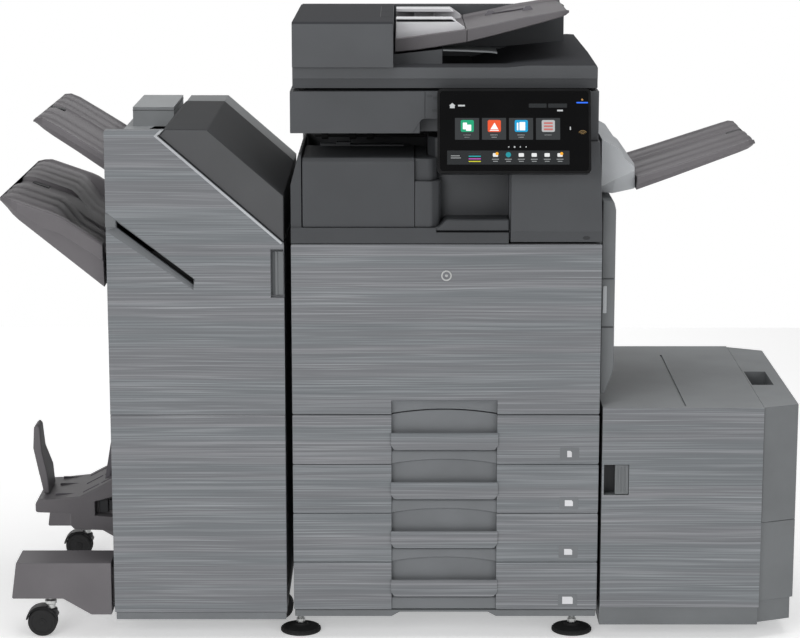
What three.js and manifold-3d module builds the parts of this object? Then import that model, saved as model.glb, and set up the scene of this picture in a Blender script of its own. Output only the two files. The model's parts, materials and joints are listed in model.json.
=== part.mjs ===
// Floor-standing multifunction copier with a saddle-stitch finisher on its left, a large-capacity
// paper tray on its right, and a document feeder, scanner and tilting touch panel on top.
// Millimetres, +X right, +Y back, +Z up. Built in machine coordinates (x = 0 at the middle of the
// main body, main front plane at y = FRONT, floor at z = 0), then moved so that the origin is the
// middle of the footprint, on the floor.
import * as THREE from 'three';
import { mergeVertices } from 'three/addons/utils/BufferGeometryUtils.js';
import Module from 'manifold-3d';

const wasm = await Module();
wasm.setup();

// ---------------------------------------------------------------- driving dimensions
const GAP = 0.4;                       // clearance between pieces that touch
const FRONT = -310;                    // front plane of the main body and the finisher
const PANEL_T = 19;                    // thickness of front doors and drawer fronts
const INNER = FRONT + PANEL_T + 1.5;   // where frames and cabinets begin, behind the fronts
const BACK = 330;                      // inner face of the rear cover
const HALF_W = 302;                    // half width of the main body
const SIDE_T = 10;                     // thickness of side covers
const BASE_Z = 48;                     // underside of the base
const PLINTH_Z = 62;                   // top of the base plinth
const DRAWER_PITCH = 100.4;            // height of one drawer
const DRAWER_COUNT = 4;
const DECK_Z = 463;                    // seam between the top drawer and the front door
const DOOR_TOP = 802.5;                // top of the front door
const BAND_Z = 804;                    // underside of the dark upper band
const OUT_Z = 835;                     // output deck
const RECESS = [-107, 101];            // smooth recess for the hands, in the middle of the fronts
const ARCH = 9;                        // rise of each seam inside that recess
const SCAN_Z = [1017.6, 1098.8];       // scanner housing, left part
const LID_Z = [1104.5, 1144];          // document feeder base
const FEED_TOP = 1232;                 // top of the feeder
const COLUMN_X = 124;                  // left side of the control column
const PANEL_TILT = THREE.MathUtils.degToRad(17.8);
const FIN_X = [-660, -316];            // finisher cabinet
const FIN_SEAM = 462;                  // seam between the finisher's two doors
const FIN_TOP = 1025;
const LCT_X = [308.5, 626, 698];       // tray cabinet, its side door, its outer face
const LCT_Y = [-312, 270];
const LCT_TOP = 477;

const PALETTE = {
  panel: { color: 0x7b7e81, roughness: 0.55, metalness: 0.05 },
  dark: { color: 0x4b4c4f, roughness: 0.6, metalness: 0.0 },
  darker: { color: 0x343538, roughness: 0.7, metalness: 0.0 },
  tray: { color: 0x6a676a, roughness: 0.65, metalness: 0.0 },
  side: { color: 0x6c6f71, roughness: 0.6, metalness: 0.0 },
  light: { color: 0xb5b6b8, roughness: 0.6, metalness: 0.0 },
  exit: { color: 0x8f9295, roughness: 0.6, metalness: 0.0 },
  black: { color: 0x161617, roughness: 0.5, metalness: 0.0 },
  gloss: { color: 0x0b0b0d, roughness: 0.1, metalness: 0.0 },
  glass: { color: 0xaebfc4, roughness: 0.05, metalness: 0.0 },
  steel: { color: 0xc0c2c4, roughness: 0.35, metalness: 0.9 },
  cyan: { color: 0x1e8fc0, roughness: 0.5, metalness: 0.0 },
  magenta: { color: 0xb02a6b, roughness: 0.5, metalness: 0.0 },
  yellow: { color: 0xd9b21f, roughness: 0.5, metalness: 0.0 },
};

// ---------------------------------------------------------------- geometry helpers
// Each helper gives a closed THREE geometry in machine coordinates.
function box(x0, x1, y0, y1, z0, z1) {
  const g = new THREE.BoxGeometry(x1 - x0, y1 - y0, z1 - z0);
  return g.translate((x0 + x1) / 2, (y0 + y1) / 2, (z0 + z1) / 2);
}

function extrude(points, depth) {
  const shape = points instanceof THREE.Shape
    ? points
    : new THREE.Shape(points.map(([u, v]) => new THREE.Vector2(u, v)));
  return new THREE.ExtrudeGeometry(shape, { depth, bevelEnabled: false, curveSegments: 6 });
}

// outline in X and Z, swept along Y
function alongY(points, y0, y1) {
  return extrude(points, y1 - y0).rotateX(Math.PI / 2).translate(0, y1, 0);
}

// outline in X and Y, swept along Z
function alongZ(points, z0, z1) {
  return extrude(points, z1 - z0).translate(0, 0, z0);
}

// outline in Y and Z, swept along X
function alongX(points, x0, x1) {
  const g = extrude(points, x1 - x0);
  const m = new THREE.Matrix4().makeBasis(
    new THREE.Vector3(0, 1, 0), new THREE.Vector3(0, 0, 1), new THREE.Vector3(1, 0, 0));
  return g.applyMatrix4(m).translate(x0, 0, 0);
}

function roundedRect(x0, x1, y0, y1, r) {
  const s = new THREE.Shape();
  s.moveTo(x0 + r, y0);
  s.lineTo(x1 - r, y0);
  s.absarc(x1 - r, y0 + r, r, -Math.PI / 2, 0);
  s.lineTo(x1, y1 - r);
  s.absarc(x1 - r, y1 - r, r, 0, Math.PI / 2);
  s.lineTo(x0 + r, y1);
  s.absarc(x0 + r, y1 - r, r, Math.PI / 2, Math.PI);
  s.lineTo(x0, y0 + r);
  s.absarc(x0 + r, y0 + r, r, Math.PI, 1.5 * Math.PI);
  return s;
}

// turned about the Z axis: profile of [radius, z] pairs that starts and ends on the axis
function turned(profile, segments = 24) {
  const g = new THREE.LatheGeometry(profile.map(([r, z]) => new THREE.Vector2(r, z)), segments);
  return g.rotateX(Math.PI / 2);
}

// the same, turned about a line along Y
function turnedAboutY(profile, x, z, segments = 24) {
  const g = new THREE.LatheGeometry(profile.map(([r, y]) => new THREE.Vector2(r, y)), segments);
  return g.translate(x, 0, z);
}

function toSolid(g) {
  if (g instanceof wasm.Manifold) return g;
  const bare = g.clone();
  bare.deleteAttribute('normal');
  bare.deleteAttribute('uv');
  const merged = mergeVertices(bare, 1e-4);
  return new wasm.Manifold(new wasm.Mesh({
    numProp: 3,
    vertProperties: Float32Array.from(merged.attributes.position.array),
    triVerts: Uint32Array.from(merged.index.array),
  }));
}

const join = (...parts) => parts.map(toSolid).reduce((a, b) => a.add(b));
const cut = (base, ...tools) => tools.map(toSolid).reduce((a, b) => a.subtract(b), toSolid(base));

function toGeometry(solid) {
  const m = solid.getMesh();
  const g = new THREE.BufferGeometry();
  g.setAttribute('position', new THREE.BufferAttribute(Float32Array.from(m.vertProperties), 3));
  g.setIndex(new THREE.BufferAttribute(Uint32Array.from(m.triVerts), 1));
  g.computeVertexNormals();
  return g;
}

const machine = new THREE.Group();

function piece(name, shape, finish, parent = machine) {
  const geometry = shape instanceof wasm.Manifold ? toGeometry(shape) : shape;
  const mesh = new THREE.Mesh(geometry, new THREE.MeshStandardMaterial(PALETTE[finish]));
  mesh.name = name;
  parent.add(mesh);
  return mesh;
}

// ---------------------------------------------------------------- main body frame
function archNotch(z, y0, y1) {
  return alongY([
    [RECESS[0], z], [RECESS[0] + 16, z + ARCH], [RECESS[1] - 16, z + ARCH], [RECESS[1], z],
    [RECESS[1], z - 5], [RECESS[0], z - 5],
  ], y0, y1);
}

function mainFrame() {
  const plinth = box(-HALF_W + 2, HALF_W - 2, FRONT + 2, BACK, BASE_Z, PLINTH_Z - GAP);
  piece('base_plinth', cut(plinth, archNotch(BASE_Z, FRONT - 1, FRONT + 40)), 'side');
  piece('left_side_cover',
    box(-HALF_W, -HALF_W + SIDE_T, INNER, BACK - GAP, PLINTH_Z, BAND_Z - GAP), 'side');
  piece('right_side_frame',
    box(HALF_W - SIDE_T, HALF_W, INNER, BACK - GAP, PLINTH_Z, BAND_Z - GAP), 'side');
  const rear = box(-HALF_W, HALF_W, BACK + GAP, BACK + 14, PLINTH_Z - 8, 1010);
  const inlet = box(-230, -202, BACK + 4, BACK + 20, 110, 130);
  piece('rear_cover', cut(rear, inlet), 'side');
  const inside = HALF_W - SIDE_T - GAP;
  piece('engine_deck', box(-inside, inside, INNER, BACK - GAP, DECK_Z + 9.5, DECK_Z + 15), 'steel');
}

// dark band under the output area, with the ledge in front of the inner wall and the left shoulder
function outputDeck() {
  const deck = box(-HALF_W, COLUMN_X - 3.4, FRONT, BACK - GAP, BAND_Z, OUT_Z);
  const ledge = box(-20, COLUMN_X, FRONT - 1, -286, OUT_Z - 9, OUT_Z + 1);
  const shoulder = alongY([
    [-HALF_W, OUT_Z - 5], [-HALF_W, 918], [-287, 976], [-281, 976], [-281, OUT_Z - 5],
  ], FRONT + 4, 57);
  piece('output_deck', join(cut(deck, ledge), shoulder), 'dark');
}

function scannerStand() {
  const column = alongY([
    [COLUMN_X - 3, 807], [HALF_W, 807], [HALF_W - 1, 850], [HALF_W - 7, 1002.9],
    [COLUMN_X - 3, 1002.9],
  ], FRONT, BACK - GAP);
  const seam = box(COLUMN_X - 4, COLUMN_X, FRONT - 1, FRONT + 10, 800, 1010);
  const innerWall = alongZ([
    [-36, -190], [-36, -222], [-22, -246], [6, -256], [COLUMN_X, -256], [COLUMN_X, 70], [-36, 70],
  ], OUT_Z + GAP, 1002.9);
  const tower = box(-281, COLUMN_X, 60, BACK - GAP, OUT_Z + GAP, 1002.9);
  piece('scanner_stand', join(cut(column, seam), innerWall, tower), 'dark');
}

// relay that carries sheets across to the finisher
function paperPass() {
  const main = alongX([
    [FRONT + 4, OUT_Z + GAP], [FRONT + 4, 962], [FRONT + 12, 970], [50, 970], [50, OUT_Z + GAP],
  ], -279, -62);
  const knuckle = alongZ([
    [-63, -200], [-63, FRONT + 4], [-32, FRONT + 4], [-18, FRONT + 8], [-10, FRONT + 22],
    [-10, -262], [-40, -240], [-40, -200],
  ], OUT_Z + GAP, 925);
  piece('paper_pass_unit', join(main, knuckle), 'dark');
}

function levellingFeet() {
  const profile = [[0, 0], [39, 0], [40.5, 3], [38, 9], [16, 13], [13, 17], [13, 21], [7, 22],
    [7, BASE_Z - GAP], [0, BASE_Z - GAP]];
  [[-291, -250], [257, -250], [-270, 285], [257, 285]].forEach(([x, y], i) => {
    piece(`levelling_foot_${i + 1}`, turned(profile), 'black').position.set(x, y, 0);
  });
}

// ---------------------------------------------------------------- print engine behind the door
function printEngine() {
  const colours = ['yellow', 'magenta', 'cyan', 'black'];
  const bottle = join(
    alongY(roundedRect(-34, 34, 0, 84, 12), -262, 150),
    alongY(roundedRect(-20, 20, 20, 60, 8), -274, -261));
  colours.forEach((colour, i) => {
    const mesh = piece(`toner_cartridge_${colour}`, bottle, colour);
    mesh.position.set(-226 + i * 84, 0, 668);
  });
  piece('transfer_unit', alongY(roundedRect(-262, 92, 520, 640, 58), -262, 270), 'darker');
  piece('fuser_unit', alongY(roundedRect(128, 280, 560, 790, 20), -250, 280), 'darker');
}

function frontDoor() {
  const door = box(-HALF_W, HALF_W, FRONT, FRONT + PANEL_T, DECK_Z + GAP, DOOR_TOP);
  const scoop = alongX([
    [FRONT - 1, 493], [FRONT + 2, 491], [FRONT + 12, 480], [FRONT + 12, 455], [FRONT - 1, 455],
  ], RECESS[0], RECESS[1]);
  piece('front_door', cut(door, scoop, archNotch(DECK_Z, FRONT - 1, FRONT + 40)), 'panel');
}

// ---------------------------------------------------------------- paper drawers
// Each front has a smooth recess with a handle bar in it; fingers go down behind the bar.
function drawer(index) {
  const top = DECK_Z - 1 - index * DRAWER_PITCH;
  const bottom = index === DRAWER_COUNT - 1 ? PLINTH_Z + 1 : top - DRAWER_PITCH + 1;
  const plate = box(-HALF_W, HALF_W, FRONT, FRONT + PANEL_T, bottom, top);
  const arch = alongY([
    [RECESS[0] + 1, top - 1], [RECESS[0] + 17, top + ARCH - 1],
    [RECESS[1] - 17, top + ARCH - 1], [RECESS[1] - 1, top - 1],
  ], FRONT + 12, FRONT + PANEL_T);
  const barTop = top - 35;
  const barBottom = top - 70.5;
  const window = box(RECESS[0], RECESS[1], FRONT - 1, FRONT + 12, barTop, top + ARCH + 2);
  const finger = box(RECESS[0] + 8, RECESS[1] - 8, FRONT + 4, FRONT + 13, barBottom + 8, barTop + 1);
  const sill = box(RECESS[0], RECESS[1], FRONT - 1, FRONT + 5, bottom - 5, barBottom);
  const bar = box(RECESS[0] - 1, RECESS[1] + 2, FRONT - 4, FRONT + 4, barBottom, barTop);
  const notch = archNotch(bottom - 1, FRONT - 1, FRONT + 40);
  const front = join(cut(join(plate, arch), window, finger, sill, notch), bar);
  piece(`drawer_front_${index + 1}`, front, 'panel');

  const trayBottom = bottom + 12;
  const trayTop = top - 16;
  const outer = box(-276, 276, FRONT + PANEL_T + GAP, 300, trayBottom, trayTop);
  const inner = box(-272, 272, FRONT + PANEL_T + 5, 296, trayBottom + 4, trayTop + 5);
  piece(`drawer_tray_${index + 1}`, cut(outer, inner), 'darker');
}

// ---------------------------------------------------------------- right side of the main body
function rightSide() {
  const cover = alongY([
    [304, 500], [312, 500], [328, 542], [330, 560], [330, 866], [326, 882], [304, 884],
  ], -286, 240);
  const pocket = box(318, 331, -200, 180, 560, 731);
  piece('right_side_door', cut(cover, pocket), 'side');
  piece('bypass_tray', box(318.5, 329.8, -199.5, 179.5, 560.5, 730.5), 'side');
  piece('exit_unit', alongY([
    [302.6, 891], [328, 888], [373, 898], [371, 947], [350, 962], [343, 980], [303, 1002],
  ], -250, 160), 'exit');
  const shelf = alongY([
    [373.6, 896], [606, 982], [598, 997], [590, 996], [373.6, 922],
  ], -245, 100);
  const channel = alongY([[372, 913], [620, 998], [620, 1020], [372, 940]], -55, -10);
  piece('exit_tray', cut(shelf, channel), 'tray');
}

// ---------------------------------------------------------------- scanner
function scanner() {
  const left = box(-HALF_W, 292, FRONT + 10, 310, SCAN_Z[0], SCAN_Z[1]);
  const right = box(110, 292, FRONT + 10, 310, 1003.3, SCAN_Z[0] + 1);
  const arm = box(60, 200, FRONT + 2, FRONT + 11, 1050, 1082);
  const hollow = box(-285, 275, -262, 292, 1032, 1091.5);
  const window = box(-250, 258, -240, 240, 1090, 1100);
  const notch = box(-52, 112, FRONT + 9, -268, 1010, 1046);
  piece('scanner_housing', cut(join(left, right, arm), hollow, window, notch), 'dark');
  piece('platen_glass',
    box(-250 + GAP, 258 - GAP, -240 + GAP, 240 - GAP, 1093, SCAN_Z[1]), 'glass');
  piece('scan_carriage', box(-272, -222, -255, 285, 1040, 1086), 'black');
}

// ---------------------------------------------------------------- document feeder
function documentFeeder() {
  const slab = box(-297, 289, FRONT + 12, 300, LID_Z[0], LID_Z[1]);
  const step = box(-300, 295, FRONT + 10, FRONT + 14, LID_Z[0] - 1, 1123);
  const hump = alongY([[105, 1143], [268, 1158], [283, 1157], [289, 1143]], FRONT + 12, 300);
  const humpSlope = alongX([[FRONT, 1147], [-60, 1160], [FRONT, 1160]], 100, 295);
  const rear = alongX([
    [152, 1140], [152, FEED_TOP - 2], [225, FEED_TOP - 4], [268, FEED_TOP - 18], [292, 1194],
    [298, 1140],
  ], -296, 252);
  const throat = alongY([
    [-102, 1140], [-102, 1162], [-8, 1172], [-8, 1140],
  ], -222, 153);
  const valley = alongY([[-9, 1124], [60, 1124], [150, 1150], [150, 1160], [-9, 1160]], -215, 140);
  const base = cut(join(slab, hump), step, humpSlope, valley);
  piece('adf_base', join(base, rear, throat), 'dark');

  const y0 = FRONT;
  const y1 = 150;
  const shell = alongX([
    [y0, 1145], [y0, FEED_TOP - 4], [y0 + 4, FEED_TOP], [y1, FEED_TOP], [y1, 1145],
  ], -297, -103);
  const inside = box(-293, -100, y0 + 5, y1 - 4, 1140, FEED_TOP - 5);
  const rim = box(-106.5, -103, y0 + 1, y1 - 1, 1212, FEED_TOP - 3);
  piece('adf_feed_cover', join(cut(shell, inside), rim), 'dark');
  piece('adf_pickup_roller', turnedAboutY([[0, -62], [5, -62], [5, -52], [13, -51], [13, 21],
    [5, 22], [5, 32], [0, 32]], -150, 1186, 20), 'black');

  const tray = alongY([
    [-100, 1165], [40, 1184], [150, 1212], [240, 1238], [228, 1247], [140, 1232], [40, 1208],
    [-100, 1192],
  ], -220, 145);
  const dish = alongY([
    [-101, 1187], [40, 1203], [140, 1227], [240, 1246], [240, 1260], [-101, 1260],
  ], -205, 130);
  piece('adf_feed_tray', cut(tray, dish), 'tray');
  const guide = alongY([[-98, 1189], [36, 1204.5], [36, 1212], [16, 1229], [-98, 1229]], 0, 6);
  const flat = alongY([[-98, 1222], [22, 1222], [16, 1229], [-98, 1229]], 0, 62);
  const front = piece('adf_guide_front', join(guide, flat), 'light');
  front.position.y = -200;
  const rearGuide = join(guide, flat).mirror([0, 1, 0]);
  piece('adf_guide_rear', rearGuide, 'light').position.y = 130;
}

// ---------------------------------------------------------------- operation panel
function operationPanel() {
  const width = 293;
  const height = 164;
  const depth = 16;
  const group = new THREE.Group();
  const outline = roundedRect(-width / 2, width / 2, -height, 0, 9);
  const glassOutline = roundedRect(-width / 2 + 5, width / 2 - 5, -height + 5, -5, 6);
  const pocket = roundedRect(-width / 2 + 4.6, width / 2 - 4.6, -height + 4.6, -4.6, 6.4);
  const housing = cut(alongY(outline, 0, depth), alongY(pocket, -1, 2.6));
  piece('control_panel', housing, 'black', group);
  piece('touch_screen', alongY(glassOutline, 0.2, 2.2), 'gloss', group);
  group.position.set(127.5, -320, 1106);
  group.rotation.x = -PANEL_TILT;
  machine.add(group);
}

// ---------------------------------------------------------------- finisher
const SLOPE = [[-557, 1014], [-318, 806]];

function finisher() {
  const outline = [
    [FIN_X[0], PLINTH_Z], [FIN_X[1], PLINTH_Z], [FIN_X[1], 796], [-551, 1000], [-562, 985],
    [FIN_X[0], 985],
  ];
  const hollow = [
    [FIN_X[0] + 10, PLINTH_Z + 12], [FIN_X[1] - 10, PLINTH_Z + 12], [FIN_X[1] - 10, 860],
    [-480, 1010], [-548, 1010], [-570, 975], [FIN_X[0] + 10, 975],
  ];
  const back = 312;
  const shell = cut(alongY(outline, INNER, back), alongY(hollow, INNER - 1, back - 10));
  const rearBox = alongY([[-645, 980], [-568, 980], [-560, 990], [-560, FIN_TOP], [-645, FIN_TOP]],
    80, back);
  const rearCap = alongY([
    [-556, 1000], [-542.5, FIN_TOP - 0.5], [-462, FIN_TOP - 0.5], [FIN_X[1], 897], [FIN_X[1], 790],
  ], 195.8, back);
  const base = alongX([
    [FRONT + 1, 42], [FRONT + 1, PLINTH_Z - 5.5], [INNER, PLINTH_Z - 5.5], [INNER, PLINTH_Z + 1],
    [back - 12, PLINTH_Z + 1], [back - 12, 42],
  ], FIN_X[0] + 3, FIN_X[1] - 2);
  const supportWheel = join(
    turnedAboutY([[0, -185], [24, -185], [27, -182], [27, -158], [24, -155], [0, -155]], -336, 27),
    box(-350, -322, -178, -162, 27, PLINTH_Z),
  );
  piece('finisher_cabinet', join(shell, base, supportWheel, rearBox, rearCap), 'side');

  const upper = alongY([
    [FIN_X[0], FIN_SEAM + 1], [FIN_X[1], FIN_SEAM + 1], [FIN_X[1], SLOPE[1][1] - 2], SLOPE[1],
    SLOPE[0], [-545, FIN_TOP], [FIN_X[0] + 3, FIN_TOP], [FIN_X[0], FIN_TOP - 3],
  ], FRONT, FRONT + PANEL_T);
  const slot = alongY([[-640.5, 846], [-640.5, 834], [-492.4, 721], [-492.4, 733]],
    FRONT - 1, FRONT + PANEL_T + 1);
  const grip = box(-342, -300, FRONT - 1, FRONT + 12, 697, 793);
  piece('finisher_upper_door', cut(upper, slot, grip), 'panel');
  piece('finisher_lower_door',
    box(FIN_X[0], FIN_X[1], FRONT, FRONT + PANEL_T, PLINTH_Z - 5, FIN_SEAM), 'panel');

  const cover = alongY([
    [SLOPE[0][0] + 2, SLOPE[0][1]], [SLOPE[1][0] + 2, SLOPE[1][1]], [FIN_X[1], 897],
    [-462, FIN_TOP], [-542.5, FIN_TOP + 0.5],
  ], FRONT + 5, 195);
  const under = alongY([
    [-552, 1002], [-322, 802], [-322, 893], [-464, 1020], [-540, 1020],
  ], FRONT + 10, 190);
  piece('finisher_top_cover', cut(cover, under), 'dark');

  const leg = [
    [-855, 159], [-865, 87], [-863, 85], [-763, 85], [-707, 52], [-666, 52], [-666, 159],
  ];
  for (const [end, y] of [['front', FRONT], ['rear', 210]]) {
    const neck = box(-667, FIN_X[0] - GAP, y + 20, y + 70, 70, 145);
    piece(`outrigger_${end}`, join(alongY(leg, y, y + 90), neck), 'tray');
  }

  const upperTray = alongY([
    [-660.6, 934], [-806, 1030], [-800, 1043], [-782, 1043], [-660.6, 968],
  ], -260, 195);
  const upperChannel = alongY([[-660, 958], [-800, 1042], [-800, 1080], [-640, 990]], -52, -10);
  piece('finisher_upper_tray', cut(upperTray, upperChannel), 'tray');

  const lowerTray = alongY([
    [-669, 712], [-843, 858], [-871, 876], [-864, 889], [-850, 890], [-750, 854], [-669, 799],
  ], -295, 300);
  const lowerChannel = alongY([[-660, 772], [-720, 801], [-868, 878], [-868, 930], [-640, 830]],
    -46, 34);
  const lowerDish = alongY([[-660, 740], [-700, 742], [-740, 790], [-740, 870], [-640, 830]],
    -200, 200);
  piece('finisher_lower_tray', cut(lowerTray, lowerChannel, lowerDish), 'tray');
}

function bookletTray() {
  const body = alongY([
    [-837, 218], [-837, 238], [-828, 245], [-803, 246], [-746, 252], [-681, 286], [-660.6, 294],
    [-660.6, 176], [-698, 180], [-758, 182], [-766, 190], [-766, 216],
  ], -150, 30);
  const fin = alongY([[-702, 262], [-690, 262], [-677, 352], [-687, 352]], -105, -35);
  piece('booklet_tray', join(body, fin), 'tray');
  const profile = [
    [-825, 247], [-813, 247], [-816, 290], [-828, 335], [-832, 384], [-837, 391], [-844, 384],
    [-846, 340], [-832, 285],
  ];
  const side = alongX([
    [-108, 240], [-113, 290], [-99, 340], [-96, 384], [-88, 395], [-53, 395], [-46, 384],
    [-42, 340], [-22, 290], [-18, 240],
  ], -870, -800);
  piece('booklet_paddle', toSolid(alongY(profile, -150, 30)).intersect(toSolid(side)), 'tray');
}

// swivelling caster: a stem with a centre plate, and a twin wheel on one axle through the plate
function caster(end, x, y) {
  const trail = 17;
  const axleZ = 29.2;
  const stem = turned([[0, 40], [12, 40], [12, 60], [8, 61], [8, 65], [11.5, 66], [11.5, 74],
    [5, 75], [5, 84.6], [0, 84.6]], 16);
  const plate = alongY([
    [8, 56], [-6, 56], [-trail - 14, 42], [-trail - 14, 20], [-trail + 8, 16], [8, 40],
  ], -3, 3);
  const bore = turnedAboutY([[0, -8], [6, -8], [6, 8], [0, 8]], -trail, axleZ, 16);
  const keep = cut(stem, box(-20, 20, 3, 20, 30, 58), box(-20, 20, -20, -3, 30, 58));
  const group = new THREE.Group();
  piece(`caster_${end}_fork`, cut(join(keep, plate), bore), 'black', group);
  piece(`caster_${end}_wheel`, turnedAboutY([
    [0, -15], [24, -15], [29, -12], [29, -4], [5, -4], [5, 4], [29, 4], [29, 12], [24, 15], [0, 15],
  ], -trail, axleZ, 24), 'black', group);
  group.position.set(x, y, 0);
  machine.add(group);
}

// ---------------------------------------------------------------- large-capacity tray
function largeCapacityTray() {
  const [x0, x1, x2] = LCT_X;
  const [y0, y1] = LCT_Y;
  const seamZ = 241;
  const main = box(x0, x1, y0, y1, 68, LCT_TOP);
  const plinth = box(x0 - 1, x1 - 2, y0 + 3, y1 - 3, 31, 69);
  const flank = alongZ([[x1 - 5, y0 + 4], [x2, -279], [x2, 225], [x1 - 5, y1 - 8]], 80, seamZ);
  const flankPlinth = alongZ([[x1 - 5, y0 + 8], [x2 - 5, -275], [x2 - 5, 221], [x1 - 5, y1 - 12]],
    34, 81);
  const hollow = box(x0 + 14, x1 + 1, -205, 195, 90, 455);
  const flankHollow = box(x1 - 10, x1 + 30, -205, 195, 90, 228);
  const well = box(x0 + 4, x0 + 53.5, y0 - 1, y0 + 24, 300, 362);
  const seam = box(470, 474, y0 + 16, 178, LCT_TOP - 3, LCT_TOP + 1);
  piece('lct_cabinet',
    cut(join(main, plinth, flank, flankPlinth), hollow, flankHollow, well, seam), 'panel');
  piece('lct_release_lever', join(
    box(x0 + 26, x0 + 53, y0 + 2, y0 + 10, 301, 361),
    box(x0 + 45, x0 + 53, y0 + 9, y0 + 20, 306, 356)), 'side');
  piece('lct_lift_table', box(x0 + 20, x1 - 12, -195, 185, 98, 104), 'steel');

  const door = alongZ([[x1 + 0.5, y0 + 4], [x2, -279], [x2, 225], [x1 + 0.5, y1 - 8]],
    seamZ + 1, LCT_TOP);
  const back = box(x1 - 5, x2 - 8, -262, 208, seamZ + 10, 436);
  const grip = box(x1 + 4, x1 + 48, -108, 16, 446, LCT_TOP + 1);
  piece('lct_side_door', cut(door, back, grip), 'side');
}

// ---------------------------------------------------------------- the whole machine
mainFrame();
outputDeck();
scannerStand();
paperPass();
levellingFeet();
printEngine();
frontDoor();
for (let i = 0; i < DRAWER_COUNT; i += 1) drawer(i);
rightSide();
scanner();
documentFeeder();
operationPanel();
finisher();
bookletTray();
caster('front', -792, -277);
caster('rear', -786, 255);
largeCapacityTray();

machine.updateMatrixWorld(true);
const extent = new THREE.Box3().setFromObject(machine, true);
machine.position.set(-(extent.min.x + extent.max.x) / 2, -(extent.min.y + extent.max.y) / 2, 0);

const group = new THREE.Group();
group.add(machine);
group.updateMatrixWorld(true);

export default group;
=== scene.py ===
"""Looks of the photocopier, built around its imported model.

Shapes are written in machine millimetres: x = 0 at the middle of the main body, its front plane at
y = FRONT, the floor at z = 0. Form.piece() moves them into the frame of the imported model, in metres.
"""
import json
import math

import bmesh
import bpy
from mathutils import Matrix, Vector


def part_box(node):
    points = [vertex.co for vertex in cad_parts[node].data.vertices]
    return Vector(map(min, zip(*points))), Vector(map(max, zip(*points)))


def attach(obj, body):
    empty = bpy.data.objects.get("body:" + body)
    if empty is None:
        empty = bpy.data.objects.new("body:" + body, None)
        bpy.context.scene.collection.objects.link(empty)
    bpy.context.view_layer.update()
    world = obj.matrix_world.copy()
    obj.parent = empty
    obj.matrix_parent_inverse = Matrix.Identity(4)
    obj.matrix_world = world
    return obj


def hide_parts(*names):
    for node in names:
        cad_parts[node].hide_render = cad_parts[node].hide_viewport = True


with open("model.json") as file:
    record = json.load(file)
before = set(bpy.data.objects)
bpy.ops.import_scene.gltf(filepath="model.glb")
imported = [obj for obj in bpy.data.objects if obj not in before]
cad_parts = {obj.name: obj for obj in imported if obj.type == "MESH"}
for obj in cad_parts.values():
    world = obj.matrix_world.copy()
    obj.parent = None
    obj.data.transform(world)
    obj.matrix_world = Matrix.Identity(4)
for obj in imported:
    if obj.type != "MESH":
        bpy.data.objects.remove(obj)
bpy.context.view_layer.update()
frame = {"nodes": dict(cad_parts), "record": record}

FRONT = -310.0
DECK_Z = 463.0
DRAWER_PITCH = 100.4
RECESS = (-107.0, 101.0)
ARCH = 9.0
OUT_Z = 835.0
PANEL_T = 19.0
DRAWER_COUNT = 4
LOWEST_EDGE = 63.0
SCREEN_PLACE = (127.5, -320, 1106)
SCREEN_TILT = math.radians(17.8)
CARD_COUNT, CARD_LEFT, CARD_PITCH, CARD_WIDTH = 4, -113, 51.5, 46
CAMERA_PLACE = (-90.3, -5017.7, 1606.8)
CAMERA_TILT = math.radians(90 - 11.43)  # from straight down

door_low, door_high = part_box("front_door")
ORIGIN = Vector(((door_low.x + door_high.x) / 2, door_low.y - FRONT / 1000, 0))
TO_ROW = Matrix.Translation(ORIGIN) @ Matrix.Diagonal((0.001, 0.001, 0.001, 1))
BODY_OF = {
    node: body for body, nodes in frame["record"]["behaviour"]["bodies"].items() for node in nodes
}


# ---------------------------------------------------------------- camera, light, floor
def add_object(name, data):
    made = bpy.data.objects.new(name, data)
    bpy.context.scene.collection.objects.link(made)
    return made


def camera():
    """At the photograph's viewpoint."""
    data = bpy.data.cameras.new("camera")
    data.lens = 110.82
    data.sensor_width = 36
    data.clip_end = 60
    cam = add_object("camera", data)
    cam.location = TO_ROW @ Vector(CAMERA_PLACE)
    cam.rotation_euler = (CAMERA_TILT, 0, 0)
    bpy.context.scene.camera = cam


def area_light(name, place, aim, size, watts):
    data = bpy.data.lights.new(name, "AREA")
    data.shape = "RECTANGLE"
    data.size, data.size_y = size
    data.energy = watts
    lamp = add_object(name, data)
    lamp.location = place
    lamp.rotation_euler = (Vector(aim) - Vector(place)).to_track_quat("-Z", "Y").to_euler()


def world_light():
    """Soft light all round, behind a white background."""
    scene = bpy.context.scene
    scene.view_settings.view_transform = "Standard"
    world = bpy.data.worlds.new("studio")
    world.use_nodes = True
    tree = world.node_tree
    soft = tree.nodes["Background"]
    soft.inputs["Color"].default_value = (1, 1, 1, 1)
    soft.inputs["Strength"].default_value = 0.30
    white = tree.nodes.new("ShaderNodeBackground")
    white.inputs["Color"].default_value = (1, 1, 1, 1)
    seen = tree.nodes.new("ShaderNodeLightPath")
    choose = tree.nodes.new("ShaderNodeMixShader")
    tree.links.new(seen.outputs["Is Camera Ray"], choose.inputs["Fac"])
    tree.links.new(soft.outputs["Background"], choose.inputs[1])
    tree.links.new(white.outputs["Background"], choose.inputs[2])
    tree.links.new(choose.outputs["Shader"], tree.nodes["World Output"].inputs["Surface"])
    scene.world = world


def studio_lights():
    area_light("key", (-2.4, -4.8, 2.3), (0, 0, 0.75), (2.6, 2.0), 76)
    area_light("fill", (3.2, -3.8, 1.8), (0, 0, 0.7), (2.4, 2.0), 34)
    area_light("top", (0.2, -0.4, 3.6), (0, 0, 0), (3.4, 2.4), 56)
    area_light("back", (-0.8, 3.8, 1.4), (0, 0, 0.6), (3.2, 1.6), 24)


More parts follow.
